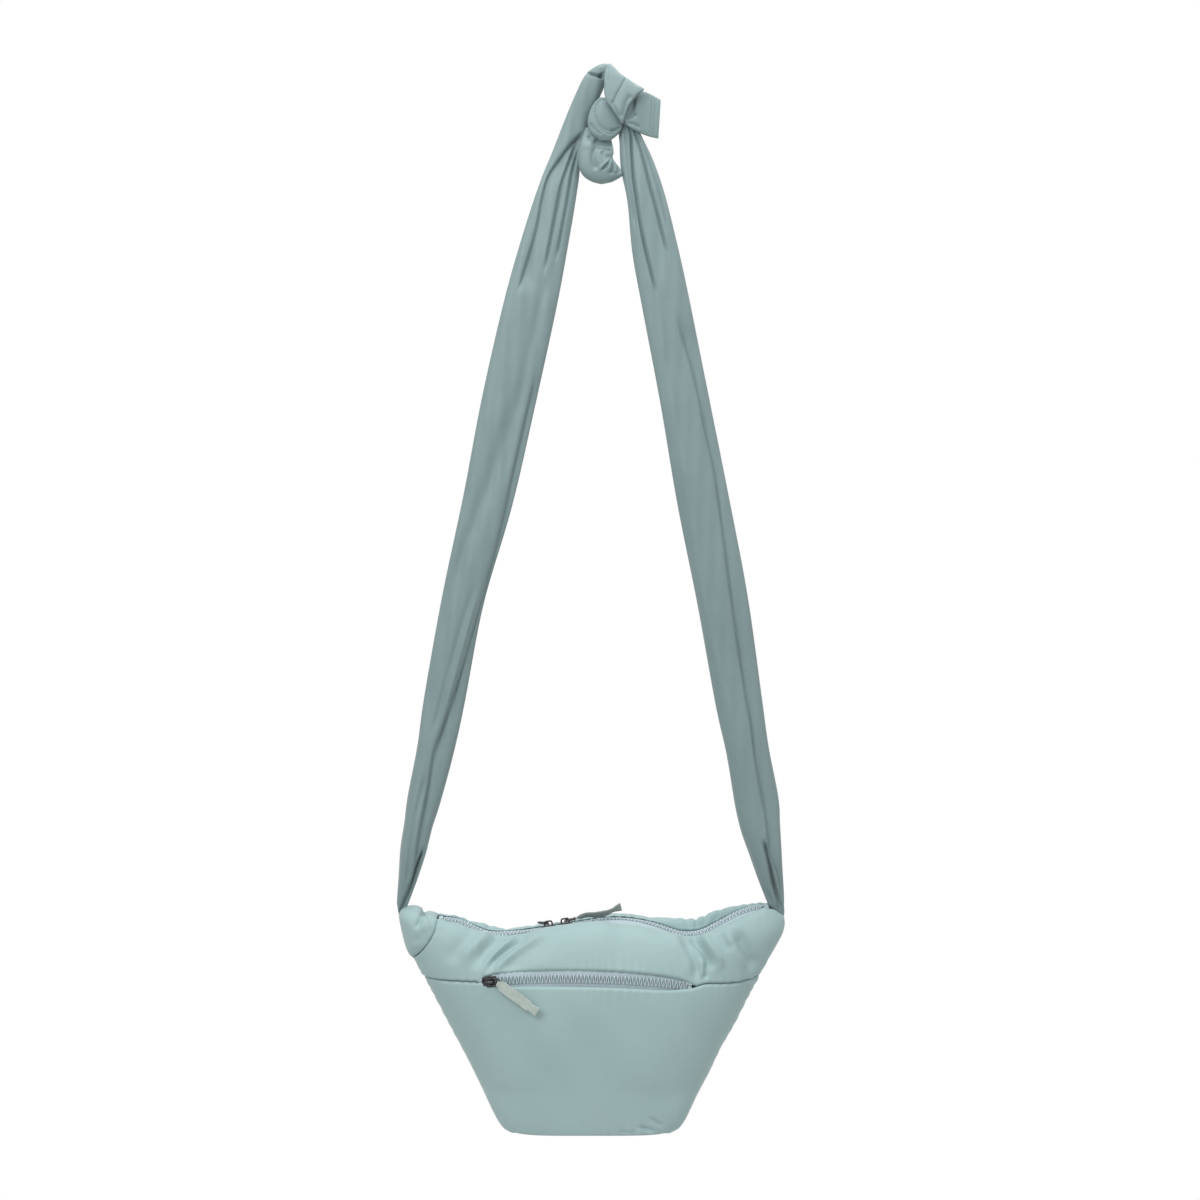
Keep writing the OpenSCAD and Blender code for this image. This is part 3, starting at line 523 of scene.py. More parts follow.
def upper_grid(columns, start, back, rows, roll_rows=14):
    """Columns of a panel from their first level over the rim to the lip beside the zip."""
    top_s = held_s(columns, CORNER_SEAM[-1][0])
    top = rim_z(top_s, back) - BASE_Z
    side = 1 if back else -1
    wall = []
    for t in spread(0, 1, rows, 0.5):
        share = 1 - (1 - t) ** 1.25
        v = mix(start, top, share)
        wall.append(skin(held_s(columns, v), v, back))
    crest = wall[-1]
    crest_y = np.abs(crest[:, 1])
    room = np.maximum(crest_y - 2.5, 0.05)
    lip_y = np.minimum(LIP_Y, room)
    lip_x = BAG_X + (crest[:, 0] - BAG_X) * (1 - 0.025 * np.abs(top_s) ** 8)
    lip_z = np.minimum(zip_z(lip_x) + TAPE_T / 2 + 0.9, rim_z(top_s, back) - RIM_FALL)
    roll = []
    for a in np.linspace(0, np.pi / 2, roll_rows + 1)[1:]:
        roll.append(np.stack([
            mix(crest[:, 0], lip_x, 1 - math.cos(a)),
            side * mix(crest_y, lip_y, math.sin(a)),
            mix(lip_z, crest[:, 2], math.cos(a)),
        ], -1))
    return np.array(wall + roll)


# Folds of the upper front panel, in the front view: a line, a depth or height, and a width
FOLD_STRENGTH = 1.25
FOLDS = [
    ([(-64, -662), (-76, -668), (-88, -677), (-95, -686), (-98, -697)], 3.4, 4.6),
    ([(-52, -664), (-64, -672), (-76, -680), (-86, -689), (-90, -699)], 3.6, 4.2),
    ([(-40, -668), (-56, -678), (-70, -688), (-80, -700)], 1.2, 9.0),
    ([(-92, -664), (-104, -672), (-113, -682), (-118, -694)], 1.6, 6.0),
    ([(66, -664), (70, -672), (77, -681), (82, -691), (84.5, -697)], 3.8, 3.0),
    ([(58, -668), (66, -680), (71, -692), (71.5, -706)], 2.4, 4.2),
    ([(79, -688), (79.5, -695), (78, -703)], 2.2, 1.8),
    ([(88, -666), (94, -676), (100, -682)], 1.4, 3.0),
    ([(101, -664), (107, -676), (113, -688), (121, -699)], 3.6, 5.0),
]
RIDGES = [
    ([(-52, -663), (-68, -671), (-80, -680), (-89, -690), (-93, -701)], 3.0, 2.4),
    ([(-38, -664), (-56, -674), (-70, -683), (-80, -692), (-84, -701)], 2.8, 3.4),
    ([(-78, -663), (-92, -671), (-102, -681), (-108, -694)], 2.0, 4.5),
    ([(73, -664), (79, -673), (86, -682), (90, -690), (86, -697)], 2.6, 3.0),
    ([(48, -664), (58, -676), (66, -688), (67, -704)], 1.8, 4.5),
    ([(75, -685), (75.5, -694), (75, -703)], 1.4, 1.8),
    ([(92, -662), (99, -674), (105, -686), (113, -699)], 2.2, 4.0),
]


def front_relief(x, z):
    relief = wave_noise(x, z, 1.0)
    for line, depth, width in FOLDS:
        relief = relief - FOLD_STRENGTH * crease(x, z, line, depth, width, 0.3)
    for line, height, width in RIDGES:
        relief = relief + FOLD_STRENGTH * crease(x, z, line, height, width, 0.35)
    return relief


def front_upper():
    grid = upper_grid(COLUMNS, pocket_edge(COLUMNS, 1), False, 64)
    bottom, top, left, _ = edge_lengths(grid)
    x, z = grid[..., 0], grid[..., 2]
    relief = front_relief(x, z) * smooth(top / 9) * smooth((bottom + 2) / 8)
    relief += puckers(x, bottom, 0.55, 6.5, 6)
    relief += puckers(x + 5, top, 0.5, 8, 5)
    relief += puckers(z, left, 0.5, 6, 6)
    return quilted("front_upper", grid, -1, (2.6, 0.8, 2.6, 2.2), relief)


# Small puckers at the right end of the foot: a line, a depth and a width
CORNER_PUCKERS = [
    ([(24, -813), (33, -816), (42, -818)], 1.6, 1.6),
    ([(34, -806), (41, -811), (47, -816)], 1.4, 1.6),
    ([(10, -817), (18, -818.5), (26, -819)], 0.9, 1.4),
]


def front_lower():
    rows = np.concatenate([np.linspace(0, 0.06, 12)[:-1], spread(0.06, 1, 96, 0.35)])
    edge = pocket_edge(COLUMNS, -1)
    grid = np.array([skin(COLUMNS, mix(FIRST_LEVEL, edge, t), False) for t in rows])
    bottom, top, left, right = edge_lengths(grid)
    x, z = grid[..., 0], grid[..., 2]
    relief = wave_noise(x + 40, z, 1.1)
    relief += puckers(x, bottom, 0.3 + 0.7 * smooth((x - 10) / 30), 9, 9)
    for line, depth, width in CORNER_PUCKERS:
        relief -= crease(x, z, line, depth, width, 0.4)
    relief += puckers(x + 3, top, 0.5, 7, 7)
    relief += puckers(z, left, 0.5, 8, 7) + puckers(z + 4, right, 0.5, 8, 7)
    return quilted("front_lower", grid, -1, (1.4, 2.6, 2.2, 2.2), relief)


# Pinches of the back panel at its rim, where the zip runs low: a line, a depth and a width
BACK_PINCHES = [
    ([(72.6, -655), (73.2, -664), (74.6, -676)], 1.8, 1.5),
    ([(62, -656), (66.5, -664), (71, -674)], 0.9, 1.8),
    ([(54, -658), (58, -664), (62, -672)], 0.6, 2.0),
    ([(83, -650), (79.6, -662), (77.4, -674)], 1.1, 1.7),
    ([(95, -648), (90, -660), (86, -670)], 0.7, 2.0),
    ([(-37, -658), (-42, -666), (-50, -674)], 1.1, 1.7),
    ([(-28, -657), (-33, -665), (-41, -673)], 1.0, 1.8),
    ([(-50, -660), (-55, -668), (-62, -675)], 0.7, 1.8),
    ([(-70, -662), (-75, -670), (-80, -677)], 0.8, 2.0),
    ([(-84, -660), (-89, -668), (-94, -674)], 0.6, 2.0),
]


def back():
    start = np.full(COLUMNS.shape, FIRST_LEVEL)
    grid = upper_grid(COLUMNS, start, True, 120)
    bottom, top, left, right = edge_lengths(grid)
    x, z = grid[..., 0], grid[..., 2]
    relief = wave_noise(x - 25, z + 12, 1.2) * smooth(top / 10)
    relief += puckers(x, bottom, 0.6, 9, 9)
    gathers = 0.6 + 1.2 * np.exp(-(((x + 41) / 11) ** 2)) + 1.0 * np.exp(-(((x - 71) / 9) ** 2))
    relief += puckers(x + 7, top, gathers, 7.5, 7)
    for line, depth, width in BACK_PINCHES:
        near_rim = smooth((30 - top) / 20) * smooth(top / 3)
        relief -= crease(x, z, line, depth, width, 0.2) * near_rim
    relief += puckers(z, left, 0.5, 8, 7) + puckers(z + 4, right, 0.5, 8, 7)
    return quilted("back", grid, 1, (1.4, 0.8, 2.2, 2.2), relief)


def around(n, level, inset):
    """A ring of points round the whole bag."""
    s = np.linspace(-1, 1, n, endpoint=False)
    return np.concatenate([skin(s, level, False, inset), skin(-s, level, True, inset)])


BASE_FLAT_INSET = 28.0  # further in, the rings shrink towards the middle of the base


def base():
    """The boxed base: a pad with rolled sides, through rings of (level, inset)."""
    profile = refine([
        (0.3, 60), (0.1, 45), (0.0, 24), (0.0, 9), (0.1, 4), (0.5, 2), (1.1, 1.1),
        (2.0, 0.5), (3.0, 0.2), (3.8, 0.7), (4.3, 2.4), (4.3, 24), (4.3, 60),
    ], 5)
    rings = []
    for level, inset in profile:
        ring = around(130, np.float64(0.0), min(inset, BASE_FLAT_INSET))
        if inset > BASE_FLAT_INSET:
            ring = mix(ring, np.array([BAG_X, 0, BASE_Z]), (inset - BASE_FLAT_INSET) / 34)
        ring[:, 2] = BASE_Z + level
        rings.append(ring)
    rings = np.array(rings)
    side_of_pad = smooth((rings[..., 2] - BASE_Z) / 1.5) * smooth((4.2 - rings[..., 2] + BASE_Z) / 2)
    outward = rings - np.array([BAG_X, 0, 0])
    outward[..., 2] = 0
    outward /= np.linalg.norm(outward, axis=-1, keepdims=True)
    place = np.cumsum(np.linalg.norm(np.diff(rings[:1], axis=1, append=rings[:1, :1]), axis=-1), 1)
    rings += outward * (side_of_pad * puckers(place, 0, 0.35, 8))[..., None]
    return loft("base", rings)


# Outline of the end cap in the front view, from the foot of its seam round to its top
CAP_OUTLINE = [
    (-148.4, -690.8), (-150.6, -686.4), (-152.8, -680.6), (-154.4, -674.4), (-155.6, -668.4),
    (-156.8, -662), (-157.2, -657.2), (-155.4, -653.8), (-151.5, -652), (-147, -651.6), (-143.4, -653.2),
    (-140, -656.8), (-136.4, -656), (-132.4, -656.4), (-128.6, -659),
]
CAP_DENTS = [
    ([(-139.4, -651), (-141, -659), (-145, -667)], 2.6, 2.0),
    ([(-136, -664), (-141, -672), (-148, -678)], 1.2, 3.4),
]


def left_corner():
    """The end cap: it swings from the front seam over the outline to the back seam."""
    count = 90
    v = np.linspace(CORNER_SEAM[0][0] + 0.5, CORNER_SEAM[-1][0] + 1.5, count)
    seams = [skin(held_s(np.full(count, -1.0), v), v, back) for back in (False, True)]
    outline = refine(CAP_OUTLINE, 12)
    steps = np.concatenate([[0], np.cumsum(np.linalg.norm(np.diff(outline, axis=0), axis=1))])
    share = np.linspace(0, 1, count) * steps[-1]
    edge = np.stack([np.interp(share, steps, outline[:, k]) for k in (0, 1)], -1)
    columns = []
    for angle in np.linspace(0, np.pi, 121):
        seam = seams[0] if angle < np.pi / 2 else seams[1]
        swing = math.sin(angle) ** 0.85
        x = mix(seam[:, 0] + 1.2, edge[:, 0], swing)
        z = mix(seam[:, 2], edge[:, 1], swing)
        y = -np.maximum(np.abs(seam[:, 1]), 0.25) * math.cos(angle)
        columns.append(np.stack([x, y, z], -1))
    grid = np.stack(columns, 1)
    n = normals(grid)
    if (n * (grid - grid.mean((0, 1)))).sum() < 0:
        n = -n
    bottom, top, left, right = edge_lengths(grid)
    sink = np.maximum(rolled(left, 2.6), rolled(right, 2.6))
    sink = np.maximum(sink, rolled(top, 1.6))
    middle = np.minimum.reduce([bottom, top, left, right])
    relief = 1.6 * smooth(middle / 10) + wave_noise(grid[..., 0] * 1.7, grid[..., 2], 0.6)
    x, z = grid[..., 0], grid[..., 2]
    relief += puckers(z + 3, left, 0.6, 6.5, 6) + puckers(z, right, 0.6, 6.5, 6)
    for line, depth, width in CAP_DENTS:
        relief -= crease(x, z, line, depth, width, 0.4)
    outer = grid + n * (relief * smooth(middle / 3) - sink)[..., None]
    depth = np.minimum(mix(0.6, 3.6, smooth(middle / 8)), 0.25 + 0.6 * np.abs(seams[0][:, 1])[:, None])
    return shell("left_corner", outer, outer - n * depth[..., None])


# Strap and knot


CORE_SHARE = 0.42  # of a tube's depth: no fold sinks deeper than this


def cloth_tube(name, a, b, depth, relief, count, square):
    """A flattened tube of cloth between two edges, with folds as relief."""
    turn = np.linspace(0, 2 * np.pi, count, endpoint=False)
    p = np.sign(np.cos(turn)) * np.abs(np.cos(turn)) ** 0.9
    side = -np.sign(np.sin(turn)) * np.maximum(1 - np.abs(p) ** square, 0) ** (1 / square)
    rings = mix(a[:, None], b[:, None], (1 + p[None, :, None]) / 2)
    rings[..., 1] += side * depth[:, None] / 2
    side = side[None, :] * np.ones((len(a), 1))
    room = depth[:, None] * CORE_SHARE
    sink = np.clip(relief(rings[..., 0], rings[..., 2], side), -room * 0.7, room)
    rings[..., 1] -= np.sign(side) * np.abs(side) ** 0.5 * sink
    return loft(name, rings)


def gathered(name, stations, steps, relief, count=180, square=2.3):
    """A limb of the strap through [x, y, z, width, depth] stations."""
    fine = refine(stations, steps)
    centres = fine[:, :3]
    d = np.gradient(centres[:, [0, 2]], axis=0)
    d /= np.linalg.norm(d, axis=1, keepdims=True)
    across = np.stack([-d[:, 1], np.zeros(len(d)), d[:, 0]], -1) * fine[:, 3:4] / 2
    return cloth_tube(name, centres - across, centres + across, fine[:, 4], relief, count, square)


def knotted(name, stations, steps, relief, count=200, square=2.8):
    """A piece of the knot through [left x, left z, right x, right z, y, depth] stations."""
    fine = refine(stations, steps)
    a = fine[:, [0, 4, 1]]
    b = fine[:, [2, 4, 3]]
    return cloth_tube(name, a, b, fine[:, 5], relief, count, square)


# Stations of the limbs, from one end to the other
LEFT_LIMB = [
    (-156.6, 0, -659.5, 3.8, 2.2), (-156.8, 0, -655, 5.8, 4), (-156.4, 0, -650.3, 8.0, 7),
    (-155.8, 0, -645.8, 9.8, 10),
    (-151.6, 0, -626.5, 15.4, 19), (-147.8, 0, -606.8, 20.5, 24), (-143.9, 0, -587.3, 22.3, 24),
    (-139.6, 0, -567.8, 26, 22), (-130.6, 0, -528.8, 29, 18), (-123.6, 0, -489.8, 32, 16),
    (-109.2, 0, -411.8, 33, 15), (-89.7, 0, -333.8, 39, 14), (-73.3, 0, -255.8, 42, 14),
    (-55.8, 0, -177.8, 41, 14), (-42.1, 2, -119.3, 35, 14), (-33.5, 5, -84.2, 29, 13),
    (-28.6, 7, -65.5, 24, 13), (-21, 7, -40.6, 20, 13), (-13.6, 4, -21.8, 18.6, 13),
    (-7.7, 1.5, -9.4, 18, 12), (-4.2, 0.5, -3.8, 15.6, 12), (-0.4, -0.5, 0.4, 11, 12),
    (4, -1.5, 3, 6.5, 11),
]
RIGHT_LIMB = [
    (139.4, 0, -659.5, 3.4, 2), (138.2, 0, -655, 7.0, 3.6), (136, 0, -650.2, 11.2, 7),
    (134.3, 0, -644.5, 14.2, 11), (130.3, 0, -626.3, 20.2, 19),
    (126.4, 0, -606.8, 26, 24), (122.5, 0, -587.3, 31.5, 24), (119.7, 0, -567.8, 34.5, 22),
    (112.7, 0, -528.8, 33.5, 19), (105.7, 0, -489.8, 36.7, 17), (93.2, 0, -411.8, 39.8, 15),
    (78, 0, -333.8, 40.6, 14), (63.6, 0, -255.8, 38.2, 14), (48.4, 0, -177.8, 37.4, 14),
    (40.6, 0, -138.8, 35.9, 14), (33.9, 0, -99.8, 30, 14), (26.5, 1, -71.8, 26, 13),
    (21.8, 2, -53, 18.5, 12), (18.5, 3, -40, 14.5, 11), (14, 3, -33, 12, 9),
]

# Folds in the strap, in the front view, from above to below. A seam is a line along which cloth
# lies over cloth. A valley or stripe has a line, a depth or height, and a width.
LEFT_SEAM = [
    (-53, -236), (-55.8, -248.3), (-70.6, -312.7), (-80, -355.7), (-92, -401.3), (-110.8, -468.4),
    (-127, -516.7), (-132.4, -532.8), (-136.3, -556.9), (-144.4, -599.9), (-148.4, -629),
    (-157.6, -655),
]
LEFT_TOP_FOLD = [
    (-15.5, -45.5), (-20, -50.5), (-26.2, -57.2), (-35.2, -68.8), (-43.2, -81.4), (-47.7, -97.5),
    (-53, -125), (-66, -170),
]
LEFT_VALLEYS = [
    ([(-61.2, -235), (-78, -290), (-93.4, -334.2), (-120.3, -412), (-139.1, -522)], 2.6, 5.5),
    ([(-19, -50.5), (-25.3, -67.9), (-31.6, -85.8), (-36.1, -107.3), (-46, -160)], 3.4, 1.2),
    ([(-18.4, -55), (-22.6, -72.4), (-25.3, -85.8), (-28.9, -107.3), (-37, -150)], 3.0, 1.1),
    ([(-13, -0.6), (-9, -3), (-4.5, -4.6), (0, -5)], 3.4, 1.1),
    ([(-2.5, -2.5), (-1.6, -4.5), (-2, -7)], 3.0, 1.6),
    ([(-40, -150), (-54, -205), (-66, -262), (-80, -330)], 1.6, 4.0),
    ([(-100, -400), (-112, -440), (-124, -484), (-134, -522)], 1.4, 2.2),
    ([(-137, -545), (-147, -590), (-153, -640)], 1.8, 2.0),
    ([(-139, -603), (-144.6, -618), (-148.8, -630.2), (-153.6, -643), (-158, -655.4),
      (-160, -662)], 5.5, 0.9),
]
LEFT_STRIPES = [
    ([(-95, -398), (-108, -445), (-121, -492), (-128, -515)], 1.2, 1.3),
    ([(-88, -392), (-101, -440), (-114, -488), (-121, -510)], 1.0, 1.2),
]
RIGHT_SEAM = [
    (56, -190), (70.5, -240.2), (78.6, -280.6), (86.7, -318.2), (96.1, -388.2), (101.5, -428.5),
    (109.5, -482.3), (114.4, -509.2), (117.6, -536.1), (125.7, -581.8), (129, -608.7),
    (135.1, -626), (139.6, -655),
]
RIGHT_VALLEYS = [
    ([(19, -36), (21.7, -50), (22.2, -63.4), (23.5, -81.4), (25.3, -94.8), (31, -130),
      (43, -180)], 3.8, 1.1),
    ([(22, -38), (28.4, -59), (32, -72.4), (36.4, -90.3), (41, -107.3), (52, -150)], 3.0, 1.1),
    ([(16.5, -38), (18, -55), (19.5, -75), (22, -95), (26, -125)], 1.6, 1.2),
    ([(24, -42), (33, -62), (39, -80), (45, -100), (52, -130)], 1.8, 1.0),
    ([(44, -165), (52, -215), (60, -265), (68, -320)], 1.6, 3.5),
    ([(104, -590), (115, -615), (125, -636), (134, -652)], 1.6, 1.8),
    ([(124, -596), (129, -617), (132.6, -632), (135.6, -643), (138, -653), (139.4, -660)], 6.5, 1.5),
]
RIGHT_STRIPES = [
    ([(55.8, -248), (63.8, -307.3), (73.2, -382.8), (82.7, -433.9), (94.8, -490.4),
      (105.5, -530.7)], 2.4, 4.5),
    ([(84, -400), (92, -445), (101, -490)], 1.0, 1.4),
]


LIMB_ROLL = 4.0
KNOT_ROLL = 2.4


def strap_relief(seams, valleys, stripes, shift):
    """Overlaps, valleys, ridges and fine lengthwise wrinkles of a gathered limb."""
    def relief(x, z, side):
        sink = 0.45 * np.sin(x / 3.1 + z / 29 + shift) * np.sin(z / 37 + shift)
        sink = sink + 0.3 * np.sin(x / 1.7 - z / 43 + 2 * shift)
        at = np.where(side < 0, x, x + 4 * np.sin(z / 60 + shift))
        for line, drop, reach in seams:
            sink = sink + overlap(at, z, line, drop, reach, LIMB_ROLL, 0.05)
        for line, depth, width in valleys:
            sink = sink + crease(at, z, line, depth, width, 0.15)
        for line, height, width in stripes:
            sink = sink - crease(at, z, line, height, width, 0.25)
        return sink
    return relief


def strap_left():
    seams = [(LEFT_SEAM, 5.0, 9), (LEFT_TOP_FOLD, 4.4, 8)]
    relief = strap_relief(seams, LEFT_VALLEYS, LEFT_STRIPES, 0.4)
    return gathered("strap_left", LEFT_LIMB, 13, relief)


def strap_right():
    seams = [(RIGHT_SEAM, 4.6, 9)]
    relief = strap_relief(seams, RIGHT_VALLEYS, RIGHT_STRIPES, 2.1)
    return gathered("strap_right", RIGHT_LIMB, 15, relief)


# Stations of the knot's pieces
FRONT_TURN = [
    (3.6, 4.4, 6.2, 5.2, -3, 6), (1.9, 0.5, 9.2, 1.6, -5, 8), (1, -5.5, 13.5, -3.2, -7, 8.5),
    (0.9, -12, 19.5, -7.8, -8.5, 8), (1, -19, 26, -12.5, -10, 7.5), (2.8, -26, 31.8, -16.2, -11, 7),
    (6.5, -31, 27.5, -20.5, -11.5, 7), (10, -36, 21, -28, -11.5, 7), (13, -40.5, 17.5, -36, -11, 6),
    (14, -43, 16, -41.5, -10, 4),
]
CORE_TURN = [
    (-3, -21.2, 1, -21.2, -3.5, 4), (-6, -24, 10, -24, -3.5, 8), (-8.6, -28, 13, -28, -3.5, 9.5),
    (-11, -34, 15, -34, -3.5, 10.5), (-12, -40, 15.5, -40, -3.5, 10.5),
    (-11.2, -45.5, 14.5, -45.5, -3.5, 9.5), (-8.6, -50, 11.5, -50, -3.5, 8),
    (-2.6, -54.6, 5.6, -54.6, -3.5, 4),
]
LEFT_TAIL = [
    (15, -41.5, 14.5, -35, -6, 4), (18.5, -43.5, 18, -28.5, -6.5, 6), (22.5, -46, 21.5, -21.5, -6, 6),
    (27, -48, 26, -16.8, -5, 6), (31.5, -49.8, 32.2, -16.4, -3.5, 5.5), (36.5, -51.4, 38.5, -19, -3, 4.5),
    (41, -52.4, 43, -21.5, -3, 3.6), (43.2, -52.8, 45, -23, -3, 2.6),
]
RIGHT_TAIL = [
    (-13.5, -43, 5.5, -49, 2.6, 6), (-15.8, -49.5, 7, -54.5, 1.2, 8), (-17.6, -57.5, 8, -60, -2, 12),
    (-18.9, -63.5, 8.3, -63.5, -2, 13), (-19, -70, 7.6, -67.5, -2, 14),
    (-18.2, -76.5, 10, -71.5, -2, 14), (-15, -82, 13.8, -76.5, -2, 13), (-9, -86, 15, -81.5, -2, 10),
    (-2, -88, 8, -86, -2, 5),
]
# Folds of the knot: lines with a drop and a reach, and valleys or ridges with a depth and a width
TURN_OVER = [([(18, -6.5), (14.5, -13.5), (10.3, -21.3), (7.3, -28.5)], 0.9, 3.0)]
TURN_VALLEYS = [
    ([(22.5, -20), (18.5, -27), (16.6, -33), (15, -41)], 1.6, 2.2),
    ([(6, -24), (9, -32), (13.4, -40)], 1.0, 1.4),
    ([(4.5, 3), (3.4, -4), (3, -12)], 0.8, 1.6),
]
CORE_OVER = [
    ([(9, -23), (2, -23), (-3, -24.5), (-5.8, -28.5), (-6.1, -34.8), (-3, -42.2), (1.5, -46.2),
      (7, -47.8), (13, -45.5)], 0.8, 2.0),
    ([(-2, -21.8), (-6.6, -26), (-8.6, -32), (-7.4, -38.4), (-3, -45.5), (4.2, -49.8), (12, -49)], 0.9, 2.4),
]
CORE_VALLEYS = [
    ([(14.5, -44), (10, -46.5), (5, -47.6)], 1.4, 1.0),
    ([(-10.5, -41), (-6, -47), (0, -51)], 0.8, 1.6),
]
TAIL_VALLEYS = [
    ([(27, -16), (24, -22), (23.8, -28), (22.5, -34), (18.5, -39.5)], 2.6, 1.6),
    ([(16.8, -40.2), (22, -37), (27, -34.5)], 1.8, 1.4),
    ([(17, -41.2), (24, -43), (30, -45.5)], 1.2, 1.4),
]
LOOP_VALLEYS = [
    ([(-8, -54), (-3, -57), (3, -58.5), (9, -58)], 4.5, 4.2),
    ([(-3, -54.5), (-2.5, -59.8), (3, -62), (9, -62.6)], 2.0, 1.0),
    ([(-2.5, -57), (-5.5, -61), (-7.4, -66), (-7, -73), (-4, -79)], 2.4, 2.2),
    ([(-12, -50), (-8, -54.5), (-3, -56)], 1.8, 1.4),
    ([(-1, -63), (1.5, -67), (6, -69)], 1.6, 1.8),
    ([(7.5, -67.5), (3.4, -73.5), (-2, -79)], 2.2, 1.1),
    ([(8, -68), (7.5, -74), (6, -82)], 2.2, 1.1),
    ([(9, -68.5), (11.5, -75), (13, -81)], 2.0, 1.0),
]
LOOP_RIDGES = [
    ([(7, -68.6), (3.8, -71.6), (0.2, -75.3), (-3, -79)], 1.8, 1.2),
    ([(7.4, -68.8), (5.8, -74), (3.8, -80.5)], 1.8, 1.1),
    ([(8.6, -68.8), (9.8, -75), (9.6, -81)], 1.4, 1.0),
]


def knot_relief(overs, valleys, ridges, shift):
    """Overlaps, valleys and ridges of a piece of the knot, the same on both of its sides."""
    def relief(x, z, _side):
        sink = 0.2 * np.sin(x / 4.3 + z / 7.7 + shift) * np.cos(z / 6.3 - shift)
        for line, drop, reach in overs:
            sink = sink + overlap(x, z, line, drop, reach, KNOT_ROLL, 0.1)
        for line, depth, width in valleys:
            sink = sink + crease(x, z, line, depth, width, 0.2)
        for line, height, width in ridges:
            sink = sink - crease(x, z, line, height, width, 0.2)
        return sink
    return relief


def strap_left_turn():
    relief = knot_relief(TURN_OVER, TURN_VALLEYS, [], 0.3)
    return knotted("strap_left_turn", FRONT_TURN, 14, relief)


def strap_right_turn():
    relief = knot_relief(CORE_OVER, CORE_VALLEYS, [], 1.7)
    return knotted("strap_right_turn", CORE_TURN, 14, relief, square=2.2)


def strap_left_tail():
    return knotted("strap_left_tail", LEFT_TAIL, 14, knot_relief([], TAIL_VALLEYS, [], 2.9))


def strap_right_tail():
    relief = knot_relief([], LOOP_VALLEYS, LOOP_RIDGES, 0.9)
    return knotted("strap_right_tail", RIGHT_TAIL, 14, relief, square=2.4)


# Zips

# How far the chain and its tapes turn towards the front, in degrees at places along the bag
CHAIN_LEAN = [
    (-128, 8), (-112, 20), (-90, 22), (-66, 14), (-52, 0), (20, 0), (42, 14), (70, 20), (100, 24),
    (130, 20),
]
TAPE_EDGE = 1.2  # from the middle of the chain to the edge of a tape
FLAT_TAPE = 3.6  # from here the front tape falls to the lip of the bag


def tape_half(x):
    """Width of a top tape, narrower at both ends of the bag."""
    s = np.clip((x - BAG_X) / HALF_SPAN, -1, 1)
    return np.maximum(np.minimum(TAPE_W, 23 * (1 - s * s) ** 0.45 - 3.5), 4.1)


def top_tape(name, side):
    """A woven strip beside the top chain, with a beaded edge where the teeth hold it."""
    stations = np.array([zip_at(ZIP_TOTAL * k / 200) for k in range(201)])
    heading = np.radians(stations[:, 2])
    up = np.stack([-np.sin(heading), np.zeros(201), np.cos(heading)], -1)
    half = tape_half(stations[:, 0])
    grids = []
    for level in (TAPE_T / 2, -TAPE_T / 2):
        columns = []
        for t in np.linspace(0, 1, 16):
            bead = 0.35 * math.exp(-((t - 0.02) / 0.06) ** 2)
            y = mix(TAPE_EDGE, half, t)
            lean = np.sin(np.radians(curve(CHAIN_LEAN, stations[:, 0])))
            fall = -side * lean * y * np.clip((8 - y) / 4, 0, 1)
            if side < 0:
                edge = np.minimum(LIP_Y, half + 1)
                slope = np.maximum(0, y - FLAT_TAPE) / np.maximum(edge - FLAT_TAPE, 0.8)
                fall = np.maximum(fall, lip_drop(stations[:, 0]) * slope)
            centre = np.stack([stations[:, 0], side * y, stations[:, 1] - fall], -1)
            columns.append(centre + up * (level * (1 + bead)))
        grids.append(np.stack(columns, 1))
    return shell(name, *grids)


def front_tape(name, side):
    """A tape of the pocket's zip. The upper one leans in behind the padded panel."""
    reach = FRONT_ZIP_HALF + 0.9
    leans = [(TAPE_EDGE, 0), (TAPE_W, 0)]
    if side > 0:
        leans = [(TAPE_EDGE, 0), (3.4, 0), (7, 1.4), (TAPE_W, 4.3)]
    grids = []
    for level in (-TAPE_T / 2, TAPE_T / 2):
        rows = []
        for turn in np.linspace(-reach, reach, 121):
            matrix = front_zip_matrix(turn)
            rows.append([
                matrix @ Vector((0, float(curve(leans, r)) + level, side * r))
                for r in np.linspace(TAPE_EDGE, TAPE_W, 16)
            ])
        grids.append(np.array(rows))
    return shell(name, *grids)


def select_only(obj):
    bpy.ops.object.select_all(action="DESELECT")
    obj.select_set(True)
    bpy.context.view_layer.objects.active = obj


def plain_block(x, y, z, sx, sy, sz):
    """A sharp block in millimetres, from its centre and size."""
    bpy.ops.mesh.primitive_cube_add(size=1, location=(x * MM, y * MM, z * MM))
    obj = bpy.context.object
    obj.scale = (sx * MM, sy * MM, sz * MM)
    select_only(obj)
    bpy.ops.object.transform_apply(location=True, rotation=True, scale=True)
    return obj


def block(x, y, z, sx, sy, sz, edge):
    """The same with its edges rounded."""
    obj = plain_block(x, y, z, sx, sy, sz)
    bpy.ops.object.mode_set(mode="EDIT")
    bpy.ops.mesh.select_all(action="SELECT")
    bpy.ops.mesh.bevel(offset=edge * MM, segments=2, affect="EDGES")
    bpy.ops.object.mode_set(mode="OBJECT")
    return obj


def joined(objects, name):
    select_only(objects[0])
    for obj in objects:
        obj.select_set(True)
    bpy.ops.object.join()
    obj = bpy.context.object
    obj.name = name
    obj.data.name = name
    return obj


def rounded(obj):
    """Smooth shading, with edges of more than 50 degrees left sharp."""
    select_only(obj)
    bpy.ops.object.shade_smooth_by_angle(angle=math.radians(50))
    return obj


